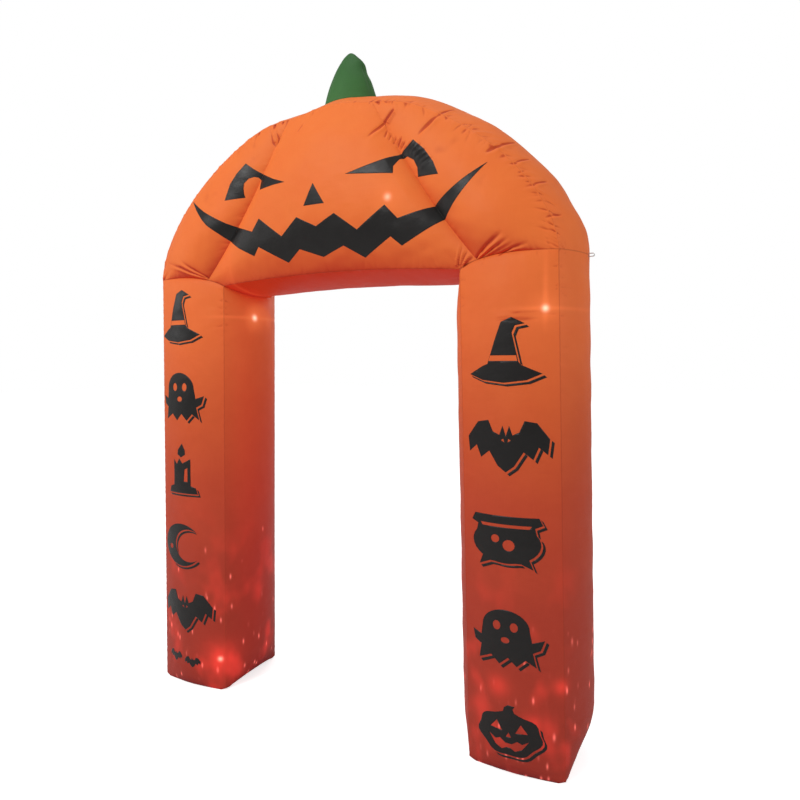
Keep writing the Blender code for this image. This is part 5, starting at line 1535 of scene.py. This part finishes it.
def make_zip():
    halves = []
    steps, steps_wide = TAPE_STEPS
    for side in (-1, 1):
        rows, columns = np.linspace(0, ZIP_LENGTH, steps), np.linspace(CHAIN_GAP, TAPE_WIDTH / 2, steps_wide)
        up, across = np.meshgrid(rows, columns, indexing="ij")
        wave = TAPE_WAVE * np.cos(up * 2 * math.pi / TAPE_WAVE_LENGTH) * across / TAPE_WIDTH
        halves.append(Panel(zip_point(side * across, TAPE_WALL + wave, up), (0, 1, 0), (side * across, up)))
    flat = (TAPE_WIDTH, ZIP_LENGTH)
    looks = {"look": ZIP_CLOTH, "slot": "black_cloth", "wall": TAPE_WALL}
    cloth_piece("zip_tape", halves, flat, **looks, settle=False, sewn=False)
    out = (TAPE_WALL + CHAIN_WALL) / 2
    heights = np.arange(CHAIN_ENDS[0], ZIP_LENGTH - CHAIN_ENDS[1], TOOTH_PITCH)
    teeth = [(side * TOOTH_REACH, out, z + side * TOOTH_STAGGER) for z in heights for side in (-1, 1)]
    zip_blocks("zip_teeth", teeth, TOOTH_SIZE, DARK_PLASTIC)
    stops = [(0, TAPE_WALL + STOP_SIZE[1] / 2, z) for z in (STOP_INSET, ZIP_LENGTH - STOP_INSET)]
    zip_blocks("zip_stops", stops, STOP_SIZE, STEEL)
    heights = np.arange(STITCH_ENDS[0], ZIP_LENGTH - STITCH_ENDS[1], STITCH_PITCH)
    threads = [
        (side * x, TAPE_WALL + STITCH_LIFT, z) for z in heights for side in (-1, 1) for x in STITCH_ROWS
    ]
    zip_blocks("zip_stitches", threads, STITCH_SIZE, ZIP_THREAD)


# Prints


ARC_STEPS = 14


def arc(middle, radii, start=0, end=1 - 1 / ARC_STEPS, steps=ARC_STEPS):
    """Points along part of an ellipse, by turns of a full circle, or else right round it."""
    angles = np.linspace(start, end, steps) * 2 * math.pi
    return [(middle[0] + radii[0] * math.cos(a), middle[1] + radii[1] * math.sin(a)) for a in angles]


def outline_prism(name, outlines, low, high):
    """A solid of flat outlines in X and Z, holes included, between two depths."""
    curve = bpy.data.curves.new(name, "CURVE")
    curve.dimensions = "2D"
    curve.fill_mode = "BOTH"
    curve.extrude = (high - low) / 2
    for outline in outlines:
        spline = curve.splines.new("POLY")
        spline.points.add(len(outline) - 1)
        for point, (x, z) in zip(spline.points, outline):
            point.co = (x, z, 0, 1)
        spline.use_cyclic_u = True
    holder = added(name, curve)
    bpy.context.view_layer.update()
    mesh = bpy.data.meshes.new_from_object(holder.evaluated_get(bpy.context.evaluated_depsgraph_get()))
    bpy.data.objects.remove(holder)
    bm = bmesh.new()
    bm.from_mesh(mesh)
    for vertex in bm.verts:
        vertex.co = (vertex.co.x, (low + high) / 2 - vertex.co.z, vertex.co.y)
    bmesh.ops.remove_doubles(bm, verts=bm.verts, dist=0.00001)
    bmesh.ops.recalc_face_normals(bm, faces=bm.faces)
    bm.to_mesh(mesh)
    bm.free()
    return added(name, mesh)


PRINT_LIFT = 0.0005
PRINT_WALL = 0.0003
PRINT_MARGIN = 0.03
PRINT_DEPTHS = (-0.40, -0.10)


def print_on(name, panels, outlines, node=None):
    """Ink on the cloth: the folded cloth's own surface, lifted a hair and cut to the outlines."""
    points, faces, weave, marks = joined_grid(panels)
    flat = np.array([corner for outline in outlines for corner in outline])
    low, high = flat.min(0) - PRINT_MARGIN, flat.max(0) + PRINT_MARGIN
    near = np.all((points[:, [0, 2]] > low) & (points[:, [0, 2]] < high), axis=-1)
    piece = grid_mesh(name, points, faces[near[faces].all(axis=1)], weave, marks)
    vertices = piece.data.vertices
    ways, places = np.empty(len(vertices) * 3), np.empty(len(vertices) * 3)
    vertices.foreach_get("normal", ways)
    vertices.foreach_get("co", places)
    vertices.foreach_set("co", places + ways * PRINT_LIFT)
    thicken(piece, PRINT_WALL)
    cut(piece, outline_prism(name + "_outline", outlines, *PRINT_DEPTHS), "INTERSECT")
    piece.data.materials.clear()
    piece.data.shade_smooth()
    return finished(piece, node, INK)


LEFT_EYE_SHARES = (
    (-0.747, 0.073), (-0.708, 0.173), (-0.658, 0.235), (-0.595, 0.294), (-0.530, 0.248),
    (-0.482, 0.220), (-0.355, 0.159), (-0.255, 0.123), (-0.352, 0.120), (-0.471, 0.111),
    (-0.486, 0.176), (-0.512, 0.200), (-0.539, 0.206), (-0.574, 0.197), (-0.606, 0.170),
    (-0.612, 0.136), (-0.611, 0.105), (-0.606, 0.083),
)
RIGHT_EYE_SHARES = (
    (0.171, 0.114), (0.471, 0.198), (0.568, 0.268), (0.638, 0.206), (0.697, 0.126), (0.730, 0.053),
    (0.592, 0.064), (0.592, 0.114), (0.570, 0.158), (0.526, 0.185), (0.482, 0.174), (0.456, 0.132),
    (0.458, 0.091),
)
NOSE_SHARES = ((-0.044, 0.088), (-0.115, -0.036), (0.030, -0.036))
MOUTH_SHARES = (
    (-1.055, 0.112), (-0.909, 0.018), (-0.809, -0.036), (-0.742, -0.070), (-0.695, -0.088),
    (-0.530, -0.142), (-0.470, -0.068), (-0.297, -0.192), (-0.173, -0.094), (-0.039, -0.158),
    (0.092, -0.097), (0.232, -0.200), (0.412, -0.080), (0.486, -0.159), (0.689, -0.108),
    (1.006, 0.083), (0.756, -0.182), (0.500, -0.308), (0.435, -0.253), (0.258, -0.355),
    (0.130, -0.280), (-0.020, -0.332), (-0.180, -0.276), (-0.279, -0.347), (-0.486, -0.239),
    (-0.530, -0.291), (-0.650, -0.233), (-0.750, -0.171), (-0.806, -0.127), (-0.874, -0.077),
    (-0.956, 0.006),
)
FACE_SHARES = {
    "left_eye": LEFT_EYE_SHARES,
    "right_eye": RIGHT_EYE_SHARES,
    "nose": NOSE_SHARES,
    "mouth": MOUTH_SHARES,
}


def make_face(panels):
    for name, outline in FACE_SHARES.items():
        corners = [(FACE_HALF_WIDTH * x, FACE_CENTRE_HEIGHT + FACE_HALF_WIDTH * z) for x, z in outline]
        print_on(name + "_print", panels, [corners], name)


def mirrored(half):
    """A shape from its right half, listed from the top down."""
    return list(half) + [(1 - x, y) for x, y in reversed(half)]


def hat():
    shape = [
        (0.00, 0.13), (0.20, 0.26), (0.27, 0.29), (0.37, 0.64), (0.46, 0.93), (0.60, 1.00),
        (0.78, 0.90), (0.65, 0.87), (0.61, 0.76), (0.70, 0.32), (0.74, 0.27), (1.00, 0.14),
        (0.80, 0.04), (0.50, 0.00), (0.20, 0.04),
    ]
    ribbon = [(0.285, 0.335), (0.685, 0.335), (0.668, 0.42), (0.31, 0.42)]
    return [shape, ribbon]


def bat():
    half = [
        (0.50, 0.70), (0.54, 0.90), (0.58, 0.72), (0.66, 0.78), (0.72, 1.00), (0.86, 0.96),
        (1.00, 0.66), (0.98, 0.36), (0.88, 0.50), (0.82, 0.26), (0.71, 0.40), (0.60, 0.12),
        (0.50, 0.00),
    ]
    eyes = [[(0.44, 0.62), (0.48, 0.58), (0.47, 0.65)], [(0.53, 0.65), (0.52, 0.58), (0.56, 0.62)]]
    return [mirrored(half), *eyes]


def ghost():
    body = arc((0.48, 0.66), (0.33, 0.34), 0.5, 0.0, 18)
    body += [
        (0.84, 0.46), (1.00, 0.52), (0.95, 0.34), (0.85, 0.28), (0.90, 0.02), (0.76, 0.14),
        (0.64, 0.00), (0.52, 0.14), (0.40, 0.00), (0.28, 0.14), (0.10, 0.02), (0.13, 0.28),
        (0.03, 0.34), (0.00, 0.52), (0.13, 0.46),
    ]
    eyes = [arc((x, 0.70), (0.055, 0.085)) for x in (0.36, 0.60)]
    mouth = arc((0.48, 0.45), (0.06, 0.055))
    return [body, *eyes, mouth]


def moon():
    outer = arc((0.45, 0.50), (0.45, 0.50), 0.1111, 0.8889, 34)
    inner = arc((0.62, 0.50), (0.3174, 0.385), 0.8428, 0.1572, 26)
    crater = arc((0.17, 0.42), (0.045, 0.06))
    return [outer + inner[1:-1], crater]


def lantern():
    turns = [math.radians(80 - 340 * step / 40) for step in range(41)]
    swells = [1 - 0.045 * (1 + math.cos(7 * turn - math.pi / 2)) for turn in turns]
    body = [(0.5 + 0.5 * s * math.cos(a), 0.44 + 0.44 * s * math.sin(a)) for s, a in zip(swells, turns)]
    body += [(0.43, 0.94), (0.49, 1.00), (0.59, 0.99), (0.56, 0.93)]
    eyes = [[(0.22, 0.50), (0.40, 0.48), (0.32, 0.66)], [(0.60, 0.48), (0.78, 0.50), (0.68, 0.66)]]
    nose = [(0.46, 0.38), (0.54, 0.38), (0.50, 0.47)]
    mouth = [
        (0.20, 0.36), (0.30, 0.29), (0.37, 0.33), (0.45, 0.26), (0.55, 0.26), (0.63, 0.33),
        (0.70, 0.29), (0.80, 0.36), (0.70, 0.19), (0.60, 0.13), (0.53, 0.18), (0.47, 0.18),
        (0.40, 0.13), (0.30, 0.19),
    ]
    return [body, *eyes, nose, mouth]


def cauldron():
    pot = [(0.00, 0.86), (0.05, 1.00), (0.95, 1.00), (1.00, 0.86), (0.90, 0.80)]
    pot += arc((0.50, 0.48), (0.48, 0.40), 0.08, -0.13, 8) + [(0.88, 0.00), (0.72, 0.10)]
    pot += arc((0.50, 0.48), (0.48, 0.40), -0.20, -0.30, 8) + [(0.28, 0.10), (0.12, 0.00)]
    pot += arc((0.50, 0.48), (0.48, 0.40), -0.37, -0.58, 8) + [(0.10, 0.80)]
    rim = [(0.14, 0.84), (0.86, 0.84), (0.83, 0.78), (0.17, 0.78)]
    return [pot, rim, arc((0.36, 0.55), (0.06, 0.078)), arc((0.55, 0.44), (0.085, 0.1105))]


def candle():
    shape = [
        (0.10, 0.00), (0.14, 0.12), (0.26, 0.16), (0.26, 0.68), (0.35, 0.58), (0.43, 0.70),
        (0.52, 0.60), (0.74, 0.70), (0.74, 0.16), (0.86, 0.12), (0.90, 0.00),
    ]
    flame = [(0.48, 0.72), (0.60, 0.78), (0.60, 0.87), (0.52, 1.00), (0.40, 0.87), (0.38, 0.78)]
    shine = [(0.56, 0.24), (0.66, 0.24), (0.66, 0.52), (0.58, 0.48)]
    return [shape, flame, shine]


def inside(point, outline):
    x, y = point
    crossings = 0
    for (ax, ay), (bx, by) in zip(outline, outline[1:] + outline[:1]):
        if (ay > y) != (by > y) and x < ax + (y - ay) * (bx - ax) / (by - ay):
            crossings += 1
    return crossings % 2 == 1


STROKE_WAY = unit(np.array((1.0, -0.9)))
STROKE_GAP = 0.008
STROKE_WIDTH = 0.011
STROKE_LEAST_LENGTH = 0.028
STROKE_LEAST_TURN = 0.33


def shadow_strokes(parts):
    """Thin strokes beside the right and lower edges of a shape, like its shadow."""
    outline = parts[0]
    points = np.array(outline)
    after = np.roll(points, -1, axis=0)
    area = np.sum(points[:, 0] * after[:, 1] - after[:, 0] * points[:, 1])
    ways = unit(after - points)
    normals = np.stack([ways[:, 1], -ways[:, 0]], axis=-1) * math.copysign(1, area)
    lit = normals @ STROKE_WAY > STROKE_LEAST_TURN
    count = len(points)
    strokes, run = [], []
    begin = int(np.argmin(lit))
    for step in range(begin, begin + count + 1):
        if lit[step % count]:
            run.append(step % count)
            continue
        if run:
            line = [points[index] for index in run] + [after[run[-1]]]
            strokes.append(stroke_along(line))
        run = []
    clear = []
    for stroke in strokes:
        crowded = any(inside(corner, part) for part in parts for corner in stroke)
        crowded = crowded or any(inside(corner, stroke) for part in parts for corner in part)
        if not crowded and np.ptp(np.array(stroke), axis=0).max() > STROKE_LEAST_LENGTH:
            clear.append(stroke)
    return clear


def stroke_along(line):
    near = [tuple(point + STROKE_WAY * STROKE_GAP) for point in line]
    far = [tuple(point + STROKE_WAY * (STROKE_GAP + STROKE_WIDTH)) for point in reversed(line)]
    return near + far


LEG_MOTIFS = {
    "right": (
        (hat, (0.593, 0.855), (1.395, 1.62)),
        (bat, (0.585, 0.880), (1.085, 1.265)),
        (cauldron, (0.600, 0.860), (0.750, 0.931)),
        (ghost, (0.604, 0.868), (0.404, 0.600)),
        (lantern, (0.622, 0.866), (0.075, 0.262)),
    ),
    "left": (
        (hat, (-0.897, -0.652), (1.560, 1.790)),
        (ghost, (-0.897, -0.640), (1.212, 1.425)),
        (candle, (-0.880, -0.660), (0.885, 1.109)),
        (moon, (-0.901, -0.640), (0.553, 0.745)),
        (bat, (-0.911, -0.625), (0.262, 0.437)),
    ),
}
SMALL_BATS = ((-0.880, 0.105), (-0.775, 0.095))
SMALL_BAT_SIZE = (0.088, 0.048)


def make_leg_motifs(fronts):
    """Plain shapes of the season down each leg, as big as the lettering that they stand in for."""
    for word, rows in LEG_MOTIFS.items():
        outlines = []
        for shape, (left, right), (foot, top) in rows:
            width, height = right - left, top - foot
            placed = [[(left + width * x, foot + height * y) for x, y in part] for part in shape()]
            outlines += placed + shadow_strokes(placed)
        if word == "left":
            width, height = SMALL_BAT_SIZE
            for left, foot in SMALL_BATS:
                outlines.append([(left + width * x, foot + height * y) for x, y in bat()[0]])
        print_on(f"{word}_leg_print", [fronts[word]], outlines)


# Stem


def stem_seat(x, y):
    turn = np.arccos(np.minimum(1, np.abs(x / OUTER_HALF_WIDTH) ** (HEAD_SQUARENESS_SHARE / 2))) / math.pi
    along = (y + HALF_DEPTH) / SEAM_DEPTH
    return arc_point(turn, y)[..., 2] + arc_normal(turn)[..., 2] * SIDE_BULGE * swell(along)


STEM_STEPS = (60, 121)
STEM_SEAMS = (0.97, 0.22, 0.47, 0.63)


def round_from(turn, middle):
    """The turn from a place round the stem, by the shorter way."""
    return (turn - middle + 0.5) % 1 - 0.5


def make_stem():
    rises, widths = np.array(STEM_SHARES).T
    steps_up, steps_round = STEM_STEPS
    turn, rise = np.meshgrid(np.linspace(0, 1, steps_round), np.linspace(0, 1, steps_up) ** 0.9)
    angle = turn * 2 * math.pi
    width = np.sqrt(np.interp(rise, rises, widths**2))
    x, y = np.cos(angle), np.sin(angle)
    base = place(STEM_RADIUS * x, STEM_RADIUS * y, stem_seat(STEM_RADIUS * x, STEM_RADIUS * y))
    seat = settled(base)[..., 2] + CLOTH_WALL
    z = seat + (ARCH_HEIGHT - seat) * rise
    pinch = sum(np.exp(-((round_from(turn, seam) * 40) ** 2)) for seam in STEM_SEAMS)
    ripple = 0.012 * np.cos(angle * 9 + rise * 5) * (1 - rise) ** 3
    ripple += 0.016 * np.cos(angle * 3 + rise * 7) * swell(rise)
    bump = 0.13 * np.exp(-(((rise - 0.80) / 0.10) ** 2)) - 0.07 * np.exp(-(((rise - 0.60) / 0.10) ** 2))
    bump *= np.exp(-((round_from(turn, 0.03) * 9) ** 2))
    reach = STEM_RADIUS * (width * (1 + ripple - 0.045 * pinch) + bump * (1 - rise) ** 0.5)
    panel = Panel(place(reach * x, reach * y, z), place(x, y, 0.3), (angle * STEM_RADIUS, z))
    panel.line = reach * np.sqrt(-np.log(np.clip(pinch, 1e-6, 1))) / 40 * 2 * math.pi
    looks = {"look": GREEN, "slot": "green_cloth"}
    cloth_piece("stem", [panel], STEM_CUT, STEM_AREA, **looks, settle=False, sewn=False)


def give_looks():
    """The solids that show get the looks of their slots."""
    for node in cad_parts.values():
        if not node.hide_render:
            materials = node.data.materials
            for index, material in enumerate(list(materials)):
                materials[index] = SLOT_LOOKS[material.name.split(".")[0]]


leg_fronts = make_legs()
head_fronts = make_head()
make_face(head_fronts)
make_leg_motifs(leg_fronts)
make_stem()
for side, word in SIDES:
    shoulder_web(side, word)
    crown_web(side, word)
make_loops()
make_ties()
make_zip()
give_looks()


# Room, light and camera


FLOOR_SIZE = 60
FLOOR_GREY = (0.80, 0.80, 0.80, 1)
FLOOR_WHITE = 0.72
WORLD_LIGHT = 0.44


def make_floor():
    bpy.ops.mesh.primitive_plane_add(size=FLOOR_SIZE, location=(0, 0, 0))
    floor = bpy.context.object
    floor.name = "studio_floor"
    look = Look("studio_floor")
    look.tree.nodes.remove(look.shader)
    diffuse = look.node("BsdfDiffuse", {}, {"Color": FLOOR_GREY})
    seen = look.node("LightPath", {}, (), "Is Camera Ray")
    white = look.node("Emission", {}, {"Color": seen, "Strength": FLOOR_WHITE})
    both = look.node("AddShader", {}, (diffuse, white))
    look.fill(look.tree.nodes["Material Output"].inputs[0], both)
    floor.data.materials.append(look.material)


def make_backdrop():
    world = bpy.data.worlds.new("studio")
    bpy.context.scene.world = world
    world.use_nodes = True
    nodes = Nodes(world.node_tree)
    seen = nodes.node("LightPath", {}, (), "Is Camera Ray")
    level = nodes.node("MapRange", {}, {"Value": seen, "To Min": WORLD_LIGHT, "To Max": 1.0})
    backdrop = nodes.tree.nodes["Background"]
    nodes.fill(backdrop.inputs["Color"], (1, 1, 1, 1))
    nodes.fill(backdrop.inputs["Strength"], level)


# Each lamp's name, place, aim, size and power
LAMPS = (
    ("key", (-1.9, -4.9, 4.9), (0, 0, 1.4), 2.0, 164),
    ("side", (-4.6, -2.4, 2.6), (0, 0, 1.8), 1.4, 20),
    ("back", (-1.8, 5.4, 4.0), (0, 0, 1.4), 3.0, 70),
    ("fill", (4.6, -0.6, 2.6), (0, 0, 1.3), 2.5, 34),
    ("top", (0.4, -0.6, 6.5), (0, 0, 2.0), 3.0, 35),
)


def add_lamp(name, location, target, size, power):
    data = bpy.data.lights.new(name, "AREA")
    data.shape = "DISK"
    data.size = size
    data.energy = power
    lamp = added(name, data)
    lamp.location = location
    lamp.rotation_euler = (Vector(target) - Vector(location)).to_track_quat("-Z", "Y").to_euler()


PHOTO_WIDTH = 800
SENSOR_WIDTH = 36
CAMERA_PLACE = (1.3829, -2.3304, 1.4717)
CAMERA_YAW = math.radians(25.30)
CAMERA_PITCH = math.radians(-2.794)
CAMERA_ROLL = math.radians(-0.309)
CAMERA_FOCAL = 636.29
CAMERA_CENTRE = (414.66, 392.03)


def make_camera():
    """The photograph's view, found from the arch's outline. Focal length and centre are in its pixels."""
    data = bpy.data.cameras.new("camera")
    camera = added("camera", data)
    flat = math.cos(CAMERA_PITCH)
    ahead = Vector((-math.sin(CAMERA_YAW) * flat, math.cos(CAMERA_YAW) * flat, math.sin(CAMERA_PITCH)))
    camera.location = CAMERA_PLACE
    turn = ahead.to_track_quat("-Z", "Y") @ Euler((0, 0, CAMERA_ROLL)).to_quaternion()
    camera.rotation_euler = turn.to_euler()
    data.sensor_width = SENSOR_WIDTH
    data.lens = SENSOR_WIDTH * CAMERA_FOCAL / PHOTO_WIDTH
    data.shift_x = (PHOTO_WIDTH / 2 - CAMERA_CENTRE[0]) / PHOTO_WIDTH
    data.shift_y = (CAMERA_CENTRE[1] - PHOTO_WIDTH / 2) / PHOTO_WIDTH
    data.clip_start, data.clip_end = 0.05, 100
    bpy.context.scene.camera = camera


make_floor()
make_backdrop()
for lamp in LAMPS:
    add_lamp(*lamp)
make_camera()
bpy.context.scene.view_settings.view_transform = "Standard"
